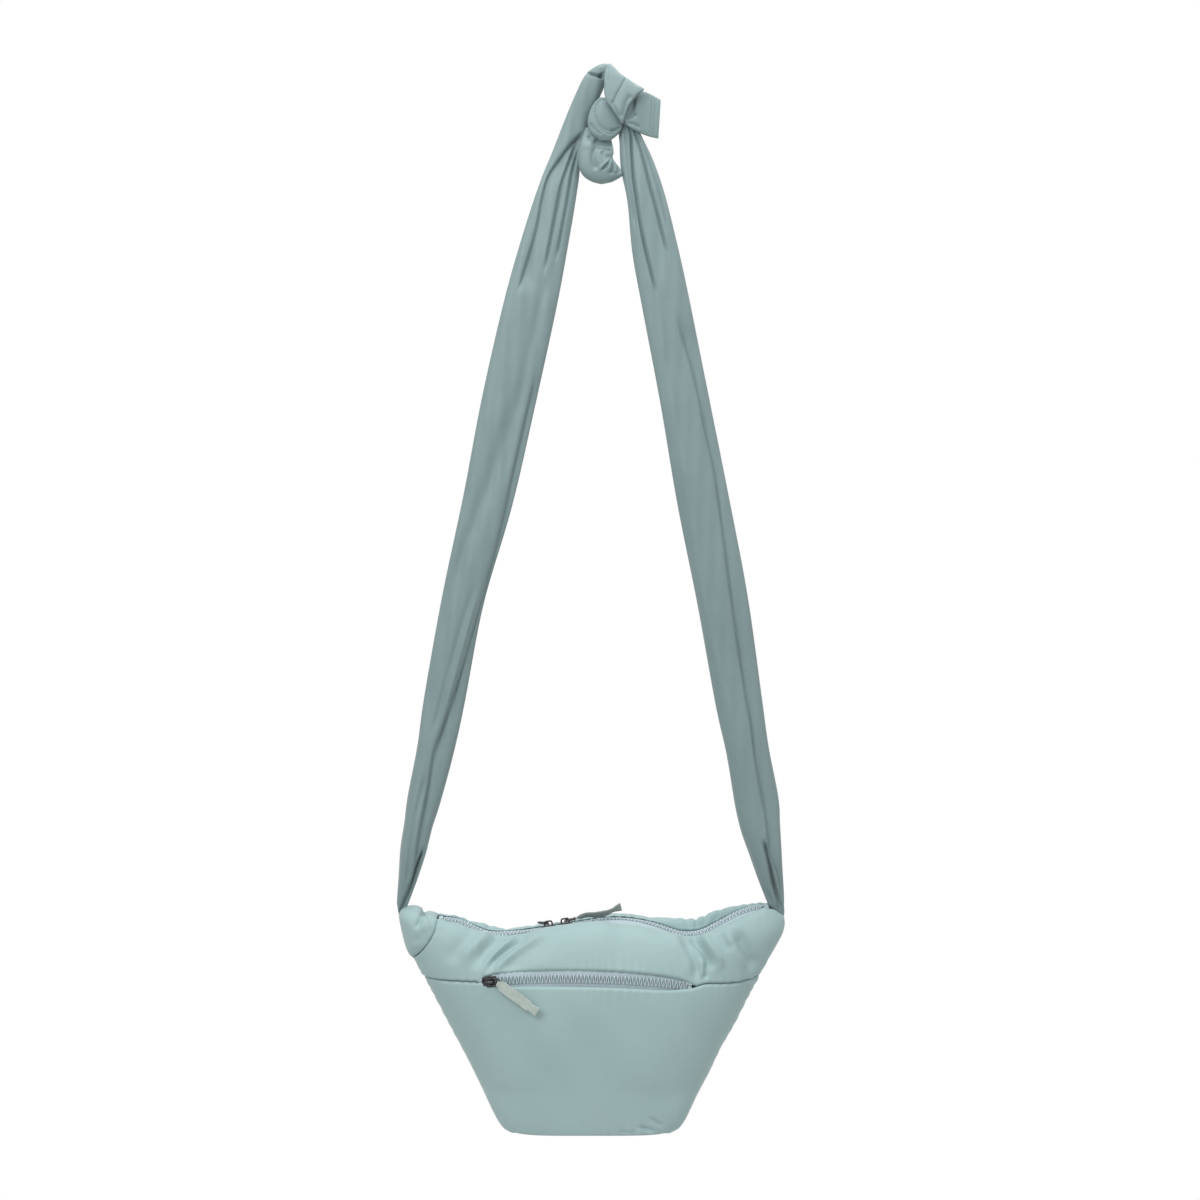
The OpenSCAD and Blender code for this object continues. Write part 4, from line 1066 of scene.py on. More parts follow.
TOOTH_H = 2.5
CHAIN_W = 6.2
WEDGE_W = 1.75
WEDGE_T = 0.8
WEDGE_LEVEL = 0.84
WEDGE_TIP = 0.08  # share of a wedge's width that is left at its tip


def tooth(side):
    """A moulded tooth: a web past the middle, and two wedges that clamp the tape."""
    parts = [block(0, side * 0.45, 0, 0.85, 2.2, TOOTH_H - 0.7, 0.15)]
    for level in (-1, 1):
        wedge = block(0, 0, level * WEDGE_LEVEL, WEDGE_W, CHAIN_W, WEDGE_T, 0.16)
        for v in wedge.data.vertices:
            v.co.x *= mix(WEDGE_TIP, 1, 0.5 + side * v.co.y / MM / CHAIN_W)
        parts.append(wedge)
    return joined(parts, "tooth")


def copies(name, pattern, matrices):
    """One mesh with a copy of the pattern at each matrix."""
    mesh = pattern.data
    points = np.array([v.co for v in mesh.vertices])
    faces = [list(p.vertices) for p in mesh.polygons]
    all_points = []
    all_faces = []
    for k, matrix in enumerate(matrices):
        m = np.array(matrix)
        all_points.append(points @ m[:3, :3].T + m[:3, 3])
        all_faces += [[i + k * len(points) for i in face] for face in faces]
    result = bpy.data.meshes.new(name)
    result.from_pydata(np.concatenate(all_points).tolist(), [], all_faces)
    obj = bpy.data.objects.new(name, result)
    bpy.context.collection.objects.link(obj)
    return rounded(obj)


def metres(matrix):
    """The same matrix with its place in metres."""
    result = matrix.copy()
    result.translation = matrix.translation * MM
    return result


def top_zip_matrix(length):
    x, z, heading = zip_at(length)
    return Matrix.Translation((x, 0, z)) @ Matrix.Rotation(-math.radians(heading), 4, "Y")


def leaning(length):
    """The same place, with the chain turned towards the front as it lies in the bag."""
    lean = float(curve(CHAIN_LEAN, zip_at(length)[0]))
    return metres(top_zip_matrix(length) @ Matrix.Rotation(math.radians(lean), 4, "X"))


FLAT_TO_FRONT = Matrix.Rotation(math.radians(90), 4, "X")
LEFT_SLIDER_L = zip_length_at(-42.0)
RIGHT_SLIDER_L = zip_length_at(-29.0)


def in_front_zip(turns):
    """Matrices in metres for copies laid in the pocket's zip at turns of its arc."""
    return [metres(front_zip_matrix(t) @ FLAT_TO_FRONT) for t in turns]


def top_teeth(name, side, pattern):
    start = 5 + (PITCH / 2 if side > 0 else 0)
    places = np.arange(start, ZIP_TOTAL - 6, PITCH)
    places = [p for p in places if p < LEFT_SLIDER_L - 1 or p > RIGHT_SLIDER_L + 1]
    return copies(name, pattern, [leaning(p) for p in places])


def front_teeth(name, side, pattern):
    pitch = math.degrees(PITCH / FRONT_ZIP_R)
    start = FRONT_SLIDER_TURN + 0.15 + (pitch / 2 if side > 0 else 0)
    return copies(name, pattern, in_front_zip(np.arange(start, FRONT_ZIP_HALF - 0.18, pitch)))


def stop(side):
    """A stop: two jaws over the edge of one tape."""
    jaws = [block(0, side * 1.5, level * 1.02, 3, 2.6, 1.25, 0.3) for level in (-1, 1)]
    jaws.append(block(0, side * 0.65, 0, 3, 0.9, 1.2, 0.15))
    return joined(jaws, "stop")


def top_stops(pattern):
    return copies("top_zip_stops", pattern, [leaning(p) for p in (2, ZIP_TOTAL - 2)])


def front_stops(pattern):
    turns = (-FRONT_ZIP_HALF - 0.35, FRONT_ZIP_HALF + 0.02)
    return copies("front_zip_stops", pattern, in_front_zip(turns))


# Sliders, rings and ribbons

SLIDER_L = 11.0
SLIDER_W = 9.6
TAIL_SHARE = 0.79  # width of the tail in shares of the mouth's
NOSE_R = 3.6
TAIL_R = 1.3
WING_T = 1.2
WING_LEVEL = 2.05
PIVOT_Z = 4.0
CROWN_TOP = 6.3
POST_X = 2.9
RING_HALF = 2.7  # half the ring's width and the radius of its bow
RING_LEG = 5.2
RING_BEND = 0.5
WIRE_R = 0.65


def wing(level):
    """A slider's plate: wide at its mouth at -x, narrower at its tail, with round corners."""
    obj = plain_block(0, 0, level, SLIDER_L, SLIDER_W, WING_T)
    for v in obj.data.vertices:
        if v.co.x > 0:
            v.co.y *= TAIL_SHARE
    for end, radius in ((1, TAIL_R), (-1, NOSE_R)):
        bpy.ops.object.mode_set(mode="EDIT")
        bpy.ops.mesh.select_mode(type="EDGE")
        bpy.ops.mesh.select_all(action="DESELECT")
        bpy.ops.object.mode_set(mode="OBJECT")
        for e in obj.data.edges:
            a, b = (obj.data.vertices[i].co for i in e.vertices)
            e.select = abs(a.z - b.z) > WING_T / 2 * MM and a.x * end > SLIDER_L * 0.49 * MM
        bpy.ops.object.mode_set(mode="EDIT")
        bpy.ops.mesh.bevel(offset=radius * MM, segments=6, affect="EDGES")
        bpy.ops.object.mode_set(mode="OBJECT")
    bpy.ops.object.mode_set(mode="EDIT")
    bpy.ops.mesh.select_all(action="SELECT")
    bpy.ops.mesh.dissolve_limited(angle_limit=math.radians(1))
    bpy.ops.object.mode_set(mode="OBJECT")
    modifier = obj.modifiers.new("edge", "BEVEL")
    modifier.width = 0.3 * MM
    modifier.segments = 3
    modifier.angle_limit = math.radians(50)
    select_only(obj)
    bpy.ops.object.modifier_apply(modifier="edge")
    return obj


def tube(name, path, radius, closed=False):
    """A round wire along points in millimetres."""
    data = bpy.data.curves.new(name, "CURVE")
    data.dimensions = "3D"
    data.bevel_depth = radius * MM
    data.bevel_resolution = 5
    data.use_fill_caps = True
    spline = data.splines.new("POLY")
    spline.points.add(len(path) - 1)
    for point, place in zip(spline.points, path):
        point.co = (*(c * MM for c in place), 1)
    spline.use_cyclic_u = closed
    obj = bpy.data.objects.new(name, data)
    bpy.context.collection.objects.link(obj)
    select_only(obj)
    bpy.ops.object.convert(target="MESH")
    return bpy.context.object


def slider_pattern():
    """A die-cast slider: two plates, a wedge between them, turned flanges and a framed crown."""
    parts = [wing(WING_LEVEL), wing(-WING_LEVEL)]
    parts.append(block(-SLIDER_L / 2 + 1.7, 0, 0, 3.2, 1.7, 3.0, 0.3))
    for side in (-1, 1):
        for level in (-1, 1):
            parts.append(block(2.4, side * 3.7, level * 1.2, 4.8, 0.6, 0.7, 0.15))
    arch = [
        (-POST_X, 0, WING_LEVEL), (-POST_X - 0.05, 0, PIVOT_Z), (-POST_X + 0.5, 0, CROWN_TOP - 0.9),
        (-POST_X + 1.4, 0, CROWN_TOP - WIRE_R),
    ]
    arch += [(-x, y, z) for x, y, z in reversed(arch)]
    crown = tube("crown", refine(arch, 5), WIRE_R)
    crown.data.transform(Matrix.Diagonal((1, 1.7, 1, 1)))
    parts.append(crown)
    return joined(parts, "slider")


def ring_pattern():
    """A pull ring of round wire: a bar through the crown, two legs and a bow."""
    straight = RING_HALF - RING_BEND
    bar = [(0, y, 0) for y in np.linspace(-straight, straight, 8)]
    corner = [
        (RING_BEND * (1 - math.cos(a)), straight + RING_BEND * math.sin(a), 0)
        for a in np.linspace(0.3, np.pi / 2, 5)
    ]
    bow = [
        (RING_LEG + RING_HALF * math.cos(a), RING_HALF * math.sin(a), 0)
        for a in np.linspace(np.pi / 2, -np.pi / 2, 25)
    ]
    other = [(x, -y, z) for x, y, z in reversed(corner)]
    return tube("ring", bar + corner + bow + other, WIRE_R, closed=True)


RIBBON_L = 40.0
RIBBON_W = 8.0
RIBBON_T = 0.44


def ribbon(name, swing, bends, widths, twist=((0, 0), (1, 0))):
    """A folded ribbon round the bow of a ring, drawn in the ring's frame and along +x.

    Bends, widths and twist are (share of the length, value) points.
    """
    wrap = WIRE_R + 0.45
    out = np.linspace(1, 0, 70)
    reach = RIBBON_L - RING_HALF
    top = [
        (RING_HALF + wrap * 0.9 + (reach - wrap) * t, mix(0.33, 0.5, math.exp(-t * 12))) for t in out
    ]
    turn = [
        (RING_HALF - wrap * math.sin(a), wrap * math.cos(a)) for a in np.linspace(0.15, np.pi - 0.15, 14)
    ]
    path = top + turn + [(x, -z) for x, z in reversed(top)]
    rows = []
    for x, z in path:
        share = np.clip((x - RING_HALF) / reach, 0, 1)
        width = float(curve(widths, share))
        lift = float(curve(bends, share))
        turned = math.radians(float(curve(twist, share))) * min(share / 0.12, 1)
        row = []
        for q in np.linspace(-1, 1, 25):
            ripple = 0.16 * math.sin(q * 7 + x * 0.5) * math.exp(-((share - 0.82) / 0.07) ** 2)
            cup = 0.55 * (1 - q * q) * (1 - width / RIBBON_W)
            y = q * width / 2
            level = z * (1 + 0.1 * q) + ripple + math.copysign(cup, z)
            row.append((
                x,
                y * math.cos(turned) + level * math.sin(turned),
                lift + level * math.cos(turned) - y * math.sin(turned),
            ))
        rows.append(row)
    rows = np.array(rows)
    turned = Matrix.Rotation(math.radians(swing), 3, "Z")
    flat = rows @ np.array(turned).T + np.array([RING_LEG, 0, 0])
    n = normals(flat)
    return shell(name, flat + n * RIBBON_T / 2, flat - n * RIBBON_T / 2)


STITCH_STEP = 2.6
STITCH_L = 1.9
STITCH_T = 0.42


def stitched(name, cloth_piece, lines):
    """Short threads laid on the front of a piece, along lines in the front view."""
    tree = BVHTree.FromPolygons(
        [v.co for v in cloth_piece.data.vertices], [list(p.vertices) for p in cloth_piece.data.polygons]
    )
    places = []
    for line in lines:
        points = refine(line, 24)
        steps = np.concatenate([[0], np.cumsum(np.linalg.norm(np.diff(points, axis=0), axis=1))])
        for at in np.arange(STITCH_STEP / 2, steps[-1], STITCH_STEP):
            ends = []
            for place in (at - STITCH_L / 2, at + STITCH_L / 2):
                x, z = (np.interp(place, steps, points[:, k]) for k in (0, 1))
                hit = tree.ray_cast(Vector((x * MM, -0.3, z * MM)), Vector((0, 1, 0)))[0]
                if hit is not None:
                    ends.append(hit)
            if len(ends) == 2 and (ends[1] - ends[0]).length < 2 * STITCH_L * MM:
                turn = (ends[1] - ends[0]).to_track_quat("X", "Z").to_matrix().to_4x4()
                places.append(Matrix.Translation((ends[0] + ends[1]) / 2) @ turn)
    bpy.ops.mesh.primitive_uv_sphere_add(segments=10, ring_count=8, radius=0.5)
    thread = bpy.context.object
    thread.data.transform(Matrix.Diagonal((STITCH_L * MM, STITCH_T * MM, STITCH_T * MM, 1)))
    obj = copies(name, thread, places)
    bpy.data.objects.remove(thread)
    return obj


def in_place(obj, matrix):
    """Moves the mesh itself, given a matrix in millimetres."""
    obj.data.transform(metres(matrix))
    return obj


def lifted(matrix, degrees, turned=False):
    """The frame of a pull ring on its slider."""
    half = Matrix.Rotation(math.pi, 4, "Z") if turned else Matrix.Identity(4)
    return (
        matrix @ Matrix.Translation((0, 0, PIVOT_Z)) @ half
        @ Matrix.Rotation(-math.radians(degrees), 4, "Y")
    )


def duplicate(pattern, name):
    obj = bpy.data.objects.new(name, pattern.data.copy())
    obj.data.name = name
    bpy.context.collection.objects.link(obj)
    return rounded(obj)


# Inside of the bag

LINING_INSET = 7.2
LINING_FLOOR = 7.4
POUCH_ROOM = 9.4  # the lining's front stands this much further in, behind the pouch
HALF_RING = 60  # points along the front or the back of the lining


def lining_ring(level, inset):
    s = np.linspace(-1, 1, HALF_RING, endpoint=False)
    front = skin(s, np.float64(level), False, LINING_INSET + inset)
    front[:, 1] = np.minimum(front[:, 1] + POUCH_ROOM * np.minimum(2.2 * deep(s, 2), 1), 0)
    return np.concatenate([front, skin(-s, np.float64(level), True, LINING_INSET + inset)])


def lining_mouth(inset):
    """The upper edge of the lining, just under both tapes of the top zip."""
    half = np.linspace(-1, 1, HALF_RING, endpoint=False)
    s = np.concatenate([half, -half])
    side = np.repeat([-1, 1], HALF_RING)
    x = BAG_X + 5 + 126 * wide(s, 2)
    z = zip_z(x) - 1.6 - np.where(side < 0, lip_drop(x), 0)
    return np.stack([x, side * (LIP_Y - 0.6 - inset) * deep(s, 2) ** 0.5, z], -1)


def cup(name, outer, inner):
    """An open bag: outer rings and inner rings from the bottom up."""
    rows, cols = outer.shape[:2]
    n = rows * cols
    k = np.arange(cols)
    after = (k + 1) % cols
    top = (rows - 1) * cols
    quads = np.concatenate([
        grid_faces(rows, cols, closed=True),
        grid_faces(rows, cols, n, closed=True)[:, ::-1],
        np.stack([top + k, top + after, n + top + after, n + top + k], -1),
    ])
    triangles = np.concatenate([
        np.stack([np.full(cols, 2 * n), after, k], -1),
        np.stack([np.full(cols, 2 * n + 1), n + k, n + after], -1),
    ])
    points = np.concatenate([
        outer.reshape(-1, 3), inner.reshape(-1, 3), outer[:1].mean(1), inner[:1].mean(1),
    ])
    uv = np.concatenate([
        grid_uv(outer).reshape(-1, 2), grid_uv(inner).reshape(-1, 2), np.zeros((2, 2)),
    ])
    return piece(name, points, quads, triangles, uv)


def lining():
    levels = np.concatenate([[LINING_FLOOR, 8, 10, 14], np.linspace(20, 130, 23)])
    floor_insets = [8, 5, 2.5, 0.8] + [0] * 23

    def rings(inset):
        body = [
            lining_ring(max(level, LINING_FLOOR + inset), inset + more)
            for level, more in zip(levels, floor_insets)
        ]
        mouth = lining_mouth(inset)
        return np.array(body + [mix(body[-1], mouth, t) for t in np.linspace(0, 1, 9)[1:]])

    return cup("lining_bag", rings(0.0), rings(CLOTH_T))


def pouch():
    """The pocket's bag: its front hangs from the lower tape and its back from the upper one."""
    s = np.linspace(-0.49, 0.46, 50)

    def ring(front_level, back_level, wall):
        inner_s = s * (1 - wall * 0.015)
        return np.concatenate([
            skin(inner_s, np.float64(front_level), False, 6.4 + wall),
            skin(inner_s[::-1], np.float64(back_level), False, 14.4 - wall),
        ])

    fronts = np.concatenate([[15, 17, 20], np.linspace(25, 91, 14), [FRONT_ZIP_LEVEL - TAPE_W - 3.2]])
    backs = np.concatenate([[15, 17, 20], np.linspace(25, 104, 14), [FRONT_ZIP_LEVEL + 7.5]])

    def rings(wall):
        lift = np.maximum(1.2 * wall - np.arange(len(fronts)), 0)
        return np.array([ring(f + l, b + l, wall) for f, b, l in zip(fronts, backs, lift)])

    return cup("pocket_pouch", rings(0.0), rings(CLOTH_T))


# Materials


def linear(code):
    """A hex colour as written on a screen, in the renderer's linear values."""
    parts = [int(code[k:k + 2], 16) / 255 for k in (1, 3, 5)]
    return tuple(c / 12.92 if c <= 0.04045 else ((c + 0.055) / 1.055) ** 2.4 for c in parts) + (1.0,)


def add(tree, kind, inputs=(), **settings):
    """A new node with its settings; inputs are (socket, value or output socket) pairs."""
    node = tree.nodes.new(kind)
    for name, value in settings.items():
        setattr(node, name, value)
    for socket, value in inputs:
        if isinstance(value, bpy.types.NodeSocket):
            tree.links.new(value, node.inputs[socket])
        else:
            node.inputs[socket].default_value = value
    return node


def blank(name):
    material = bpy.data.materials.new(name)
    material.use_nodes = True
    tree = material.node_tree
    tree.nodes.clear()
    output = add(tree, "ShaderNodeOutputMaterial")
    surface = add(tree, "ShaderNodeBsdfPrincipled")
    tree.links.new(surface.outputs[0], output.inputs[0])
    return material, tree, surface


def tinted(tree, vector, code, dark_code, patch_mm, share):
    """A colour that drifts a little towards a second one, in soft patches of a real size."""
    noise = add(tree, "ShaderNodeTexNoise", [
        ("Vector", vector), ("Scale", 1000 / patch_mm), ("Detail", 3.0),
    ])
    ramp = add(tree, "ShaderNodeMapRange", [
        ("Value", noise.outputs[0]), ("From Min", 0.35), ("From Max", 0.65), ("To Max", share),
    ])
    blended = add(tree, "ShaderNodeMix", data_type="RGBA")
    tree.links.new(ramp.outputs[0], blended.inputs[0])
    blended.inputs[6].default_value = linear(code)
    blended.inputs[7].default_value = linear(dark_code)
    return blended.outputs[2]


# A wave texture of scale 1 repeats every 0.314 m. Real threads are too fine to show, so this about
# halves the scale and draws them twice as coarse.
WAVE_REPEAT = 3.18 / 20


def thread_heights(tree, vector, spacings):
    """Heights of parallel threads, with a spacing in millimetres along each axis of the UV map."""
    return [
        add(
            tree, "ShaderNodeTexWave",
            [("Vector", vector), ("Scale", WAVE_REPEAT / (spacing_mm * MM)), ("Distortion", 0.6),
             ("Detail", 1.0), ("Detail Scale", 2.0)],
            wave_type="BANDS", bands_direction=axis,
        ).outputs[1]
        for axis, spacing_mm in spacings
    ]


def raise_surface(tree, surface, layers):
    """Stacks layers of (height, strength, depth in millimetres) on the surface, coarse to fine."""
    inputs = []
    for height, strength, depth_mm in layers:
        inputs += [("Height", height), ("Strength", strength), ("Distance", depth_mm * MM)]
        normal = add(tree, "ShaderNodeBump", inputs).outputs[0]
        inputs = [("Normal", normal)]
    tree.links.new(normal, surface.inputs["Normal"])


def cloth(name, code, dark_code, thread_mm, crinkle_mm, roughness, sheen, weave_strength=0.5):
    """Woven cloth: threads both ways, fine crinkles, soft drift of colour and a light sheen."""
    material, tree, surface = blank(name)
    place = add(tree, "ShaderNodeTexCoord")
    warp, weft = thread_heights(tree, place.outputs["UV"], [("X", thread_mm), ("Y", thread_mm)])
    weave = add(tree, "ShaderNodeMath", [(0, warp), (1, weft)], operation="MULTIPLY")
    crinkle = add(tree, "ShaderNodeTexNoise", [
        ("Vector", place.outputs["Object"]), ("Scale", 1000 / crinkle_mm), ("Detail", 5.0),
        ("Roughness", 0.55), ("Distortion", 0.5),
    ])
    soft = add(tree, "ShaderNodeTexNoise", [
        ("Vector", place.outputs["Object"]), ("Scale", 1000 / (crinkle_mm * 6)), ("Detail", 2.0),
        ("Distortion", 0.8),
    ])
    raise_surface(tree, surface, [
        (soft.outputs[0], 0.35, 1.4), (crinkle.outputs[0], 0.35, 0.35),
        (weave.outputs[0], weave_strength, 0.04),
    ])
    colour = tinted(tree, place.outputs["Object"], code, dark_code, 71.43, 0.55)
    tree.links.new(colour, surface.inputs["Base Color"])
    surface.inputs["Roughness"].default_value = roughness
    surface.inputs["Sheen Weight"].default_value = sheen
    surface.inputs["Sheen Roughness"].default_value = 0.45
    surface.inputs["Specular IOR Level"].default_value = 0.32
    return material


FLOW_MM = 1.111  # flow texture of a moulding
GRAIN_MM = 1.4286  # grain of a casting


def moulded(name, code):
    """Moulded acetal: satin, with a faint flow texture."""
    material, tree, surface = blank(name)
    place = add(tree, "ShaderNodeTexCoord")
    noise = add(tree, "ShaderNodeTexNoise", [
        ("Vector", place.outputs["Object"]), ("Scale", 1000 / FLOW_MM), ("Detail", 3.0),
    ])
    colour = tinted(tree, place.outputs["Object"], code, "#a5b7be", 3.333, 0.5)
    tree.links.new(colour, surface.inputs["Base Color"])
    raise_surface(tree, surface, [(noise.outputs[0], 0.2, 0.03)])
    surface.inputs["Roughness"].default_value = 0.42
    return material


def metal(name, code):
    """Zinc die casting with a dark nickel finish, worn a little lighter in places."""
    material, tree, surface = blank(name)
    place = add(tree, "ShaderNodeTexCoord")
    noise = add(tree, "ShaderNodeTexNoise", [
        ("Vector", place.outputs["Object"]), ("Scale", 1000 / GRAIN_MM), ("Detail", 6.0),
    ])
    wear = add(tree, "ShaderNodeMapRange", [
        ("Value", noise.outputs[0]), ("From Min", 0.4), ("From Max", 0.75), ("To Min", 0.24),
        ("To Max", 0.42),
    ])
    colour = tinted(tree, place.outputs["Object"], code, "#5c5e61", 2.0, 0.6)
    tree.links.new(colour, surface.inputs["Base Color"])
    tree.links.new(wear.outputs[0], surface.inputs["Roughness"])
    raise_surface(tree, surface, [(noise.outputs[0], 0.15, 0.04)])
    surface.inputs["Metallic"].default_value = 0.9
    return material


def grosgrain(name, code, dark_code):
    """Ribbon with ribs across its length."""
    material, tree, surface = blank(name)
    place = add(tree, "ShaderNodeTexCoord")
    ribs, warp = thread_heights(tree, place.outputs["UV"], [("Y", 0.8), ("X", 0.35)])
    raise_surface(tree, surface, [(ribs, 0.8, 0.18), (warp, 0.4, 0.05)])
    colour = tinted(tree, place.outputs["Object"], code, dark_code, 3.846, 0.8)
    tree.links.new(colour, surface.inputs["Base Color"])
    surface.inputs["Roughness"].default_value = 0.7
    surface.inputs["Sheen Weight"].default_value = 0.2
    return material


# Fine nylon, woven and dyed, over wadding: a soft matt face with a faint sheen on its curves
NYLON = cloth("padded_nylon_taffeta", "#9bb4b4", "#92abac", 0.32, 7.0, 0.55, 0.2)
# The same nylon without wadding, coloured darker as painted shade of the gathered strap
STRAP_NYLON_IN_PAINTED_SHADE = cloth("strap_nylon_taffeta_painted_shade", "#7b8f90", "#728586", 0.32, 6.0, 0.5, 0.2)
# Woven polyester, smoother and thinner than the shell
LINING = cloth("lining_polyester", "#8d9c9e", "#829193", 0.22, 9.0, 0.6, 0.1)
# Coarsely woven polyester: a dull, ribbed strip, paler and bluer than the bag
TAPE = cloth("zip_tape_polyester", "#adbfc5", "#a0b3ba", 0.55, 4.0, 0.75, 0.1, 0.9)
# Polyester thread, darker than the strap, so that its seams can be read
THREAD = cloth("sewing_thread", "#5d7074", "#52656a", 0.2, 2.0, 0.6, 0.1)
# Injection-moulded acetal: pale teeth with small satin lights
TEETH = moulded("moulded_acetal", "#b3c4ca")
# Plated zinc castings and wire: nearly black with sharp reflections
METAL = metal("gunmetal_zinc", "#2c2d2f")
# Woven ribbon with cross ribs: dull, pale and a little greener than the bag
RIBBON = grosgrain("grosgrain_ribbon", "#b4c1bb", "#a5b2ac")
# The same ribbon with painted shade: greyer, as it looks on the top slider in the shade of the rim
SHADED_TOP_RIBBON = grosgrain("shaded_grosgrain_ribbon", "#9aa19c", "#878f8a")


def dress(obj, material, body, slot, *nodes):
    """Gives a finished piece its material and its body, and hides the nodes that it stands for."""
    obj.data.materials.clear()
    obj.data.materials.append(material)
    if body:
        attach(obj, body)
    if nodes:
        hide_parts(*nodes)
    return obj


# Assembly

# Each padded piece, the nodes it stands for, and how full it is
PADS = [
    (front_upper, ("front_upper_panel", "front_upper_wadding"), 0.6),
    (front_lower, ("front_lower_panel", "front_lower_wadding"), 0.6),
    (back, ("back_panel", "back_wadding"), 0.6),
    (base, ("base_panel", "base_wadding"), 0.7),
    (left_corner, ("left_corner_panel",), 0.7),
]
for make, nodes, fill in PADS:
    dress(make(), NYLON, "bag", "padded_nylon", *nodes)

lining_bag = dress(lining(), LINING, "bag", "lining_cloth", "lining")
pocket_pouch = dress(pouch(), LINING, "bag", "lining_cloth", "front_pocket_pouch")

for side, name in ((-1, "front"), (1, "back")):
    dress(top_tape(f"top_tape_{name}", side), TAPE, "bag", "zip_tape", f"top_zip_tape_{name}")
    pattern = tooth(side)
    dress(top_teeth(f"top_teeth_{name}", side, pattern), TEETH, "bag", "zip_plastic",
          f"top_zip_teeth_{name}")
    other = "upper" if side > 0 else "lower"
    dress(front_tape(f"front_tape_{other}", side), TAPE, "bag", "zip_tape", f"front_zip_tape_{other}")
    dress(front_teeth(f"front_teeth_{other}", side, pattern), TEETH, "bag", "zip_plastic",
          f"front_zip_teeth_{other}")
    bpy.data.objects.remove(pattern)

stop_pattern = joined([stop(-1), stop(1)], "stops")
dress(top_stops(stop_pattern), TEETH, "bag", "zip_plastic", "top_zip_end_stops")
dress(front_stops(stop_pattern), TEETH, "bag", "zip_plastic", "front_zip_end_stops")
bpy.data.objects.remove(stop_pattern)

HALF_TURN = Matrix.Rotation(math.pi, 4, "Z")
front_slider_at = front_zip_matrix(FRONT_SLIDER_TURN) @ FLAT_TO_FRONT
left_slider_at = top_zip_matrix(LEFT_SLIDER_L)
right_slider_at = top_zip_matrix(RIGHT_SLIDER_L)
front_ring_at = lifted(front_slider_at, 9)
left_ring_at = lifted(left_slider_at, 14, True)
right_ring_at = lifted(right_slider_at, 3)

slider = slider_pattern()
ring = ring_pattern()
for name, matrix in (
    ("front_slider", front_slider_at),
    ("top_left_slider", left_slider_at @ HALF_TURN),
    ("top_right_slider", right_slider_at),
):
    dress(in_place(duplicate(slider, name + "_cast"), matrix), METAL, name, "gunmetal", name)
for name, matrix, node in (
    ("front_ring", front_ring_at, "front_pull_ring"),
    ("top_left_ring", left_ring_at, "top_left_pull_ring"),
    ("top_right_ring", right_ring_at, "top_right_pull_ring"),
):
    dress(in_place(duplicate(ring, name + "_wire"), matrix), METAL, name, "gunmetal", node)
bpy.data.objects.remove(slider)
bpy.data.objects.remove(ring)

# Widths, bends and turns of the ribbons along their length
WIDTHS = [(0, 4.0), (0.03, 5.6), (0.08, 7.6), (0.2, 8), (0.72, 7.9), (0.82, 6.2), (0.9, 6.6), (1, 7.4)]
STILL = [(0, 0), (0.3, 0.35), (0.6, -0.1), (0.8, 0.5), (1, -0.4)]
front_ribbon = in_place(ribbon("front_ribbon_strip", -38, STILL, WIDTHS), front_ring_at)
dress(front_ribbon, RIBBON, "front_ribbon", "ribbon", "front_pull_ribbon")
WAVES = [(0, 0), (0.25, 0.9), (0.45, -0.4), (0.7, -0.6), (0.85, 0.8), (1, 1.6)]
TWIST = [(0, 22), (0.3, 30), (0.6, 34), (0.8, 28), (0.9, 46), (1, 58)]
top_ribbon = in_place(ribbon("top_right_ribbon_strip", 0, WAVES, WIDTHS, TWIST), right_ring_at)
dress(top_ribbon, SHADED_TOP_RIBBON, "top_right_ribbon", "ribbon", "top_right_pull_ribbon")

# Lines of stitches on the knot, in the front view
SEWN = {
    "strap_left_turn": [[(17, -8), (13.4, -14.8), (9.6, -21.8), (7, -28)]],
    "strap_right_turn": [
        [(-3, -24), (-5.6, -27.6), (-6.1, -34.8), (-3, -42.8), (1.5, -46.4), (6.9, -47.8),
         (11.4, -46.4)],
    ],
    "strap_left_tail": [[(38.2, -19.6), (36, -48.9)], [(40.6, -21), (38.4, -50.4)]],
}
for make, node, flat in (
    (strap_left, "strap_left", (0.05, 0.70)), (strap_right, "strap_right", (0.05, 0.64)),
):
    limb = make()
    limb.name = node + "_limb"
    dress(limb, STRAP_NYLON_IN_PAINTED_SHADE, None, "strap_nylon", node)
    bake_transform(limb)
for make, node in (
    (strap_left_turn, "strap_left_turn"), (strap_right_turn, "strap_right_turn"),
    (strap_left_tail, "strap_left_tail"), (strap_right_tail, "strap_right_tail"),
):
    knot = make()
    knot.name = node + "_cloth"
    dress(knot, STRAP_NYLON_IN_PAINTED_SHADE, "strap", "strap_nylon", node)
    if node in SEWN:
        threads_of = stitched(node + "_stitches", knot, SEWN[node])
        dress(threads_of, THREAD, "strap", "strap_nylon")

# Studio


def aim(obj, target):
    obj.rotation_euler = (Vector(target) - obj.location).to_track_quat("-Z", "Y").to_euler()


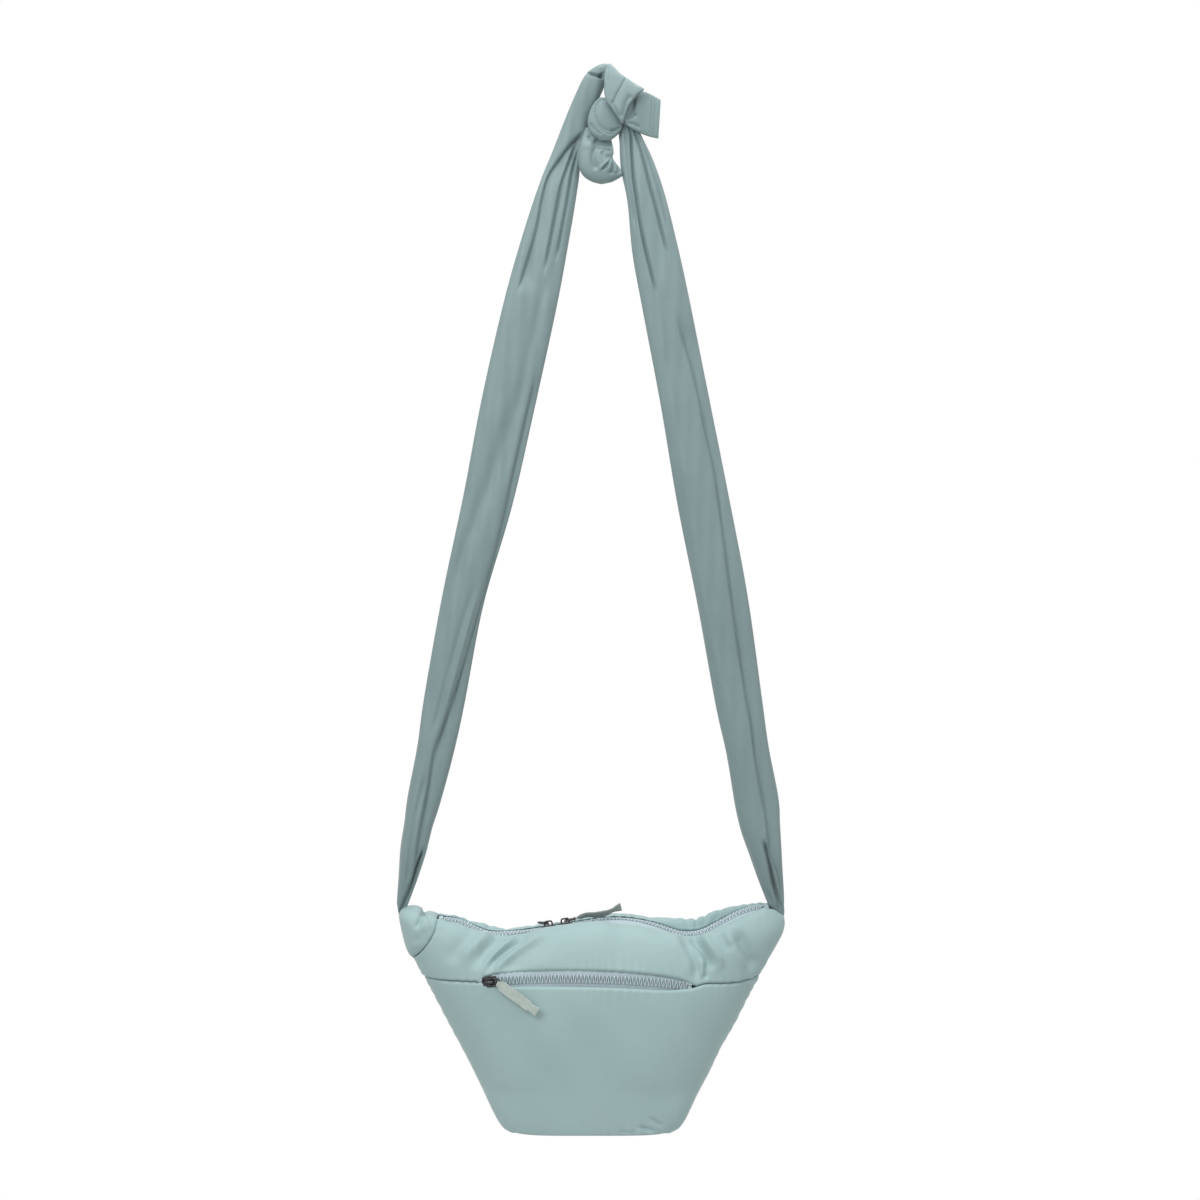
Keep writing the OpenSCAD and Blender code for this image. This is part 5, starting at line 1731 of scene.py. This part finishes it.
def lamp(name, place, target, size, power):
    """A square lamp, with places and size in metres and power in watts."""
    data = bpy.data.lights.new(name, "AREA")
    data.size = size
    data.energy = power
    obj = bpy.data.objects.new(name, data)
    obj.location = place
    bpy.context.collection.objects.link(obj)
    aim(obj, target)
    return obj


camera_data = bpy.data.cameras.new("camera")
camera_data.lens = LENS
camera_data.sensor_width = 36
camera = bpy.data.objects.new("camera", camera_data)
camera.location = [c * MM for c in CAMERA_AT]
camera.rotation_euler = (math.radians(90), 0, 0)
bpy.context.collection.objects.link(camera)
bpy.context.scene.camera = camera

MIDDLE = (0, 0, -0.55)
lamp("key", (-0.9, -1.3, 0.55), MIDDLE, 1.1, 19)
lamp("top", (0.1, -0.2, 0.75), MIDDLE, 1.0, 11)
lamp("fill", (1.3, -1.0, -0.3), MIDDLE, 1.2, 4)

FLOOR_R = 0.42
FLOOR_Z = -1.05
bpy.ops.mesh.primitive_circle_add(
    vertices=96, radius=FLOOR_R, fill_type="NGON", location=(0, 0, FLOOR_Z)
)
floor = bpy.context.object
floor.name = "floor"
floor_material, _, floor_surface = blank("floor_paint")
floor_surface.inputs["Base Color"].default_value = linear("#e4e4e2")
floor_surface.inputs["Roughness"].default_value = 0.8
floor.data.materials.append(floor_material)

world = bpy.data.worlds.new("studio")
bpy.context.scene.world = world
world.use_nodes = True
tree = world.node_tree
tree.nodes.clear()
path = add(tree, "ShaderNodeLightPath")
# White where it is seen or mirrored, and half as strong as a light
seen = path.outputs["Is Camera Ray"]
for ray in ("Is Glossy Ray", "Is Transmission Ray"):
    seen = add(tree, "ShaderNodeMath", [(0, seen), (1, path.outputs[ray])], operation="MAXIMUM").outputs[0]
strength = add(tree, "ShaderNodeMapRange", [("Value", seen), ("To Min", 0.5), ("To Max", 1.0)])
sky = add(tree, "ShaderNodeBackground", [("Color", (1, 1, 1, 1)), ("Strength", strength.outputs[0])])
add(tree, "ShaderNodeOutputWorld", [("Surface", sky.outputs[0])])

bpy.context.scene.view_settings.view_transform = "Standard"
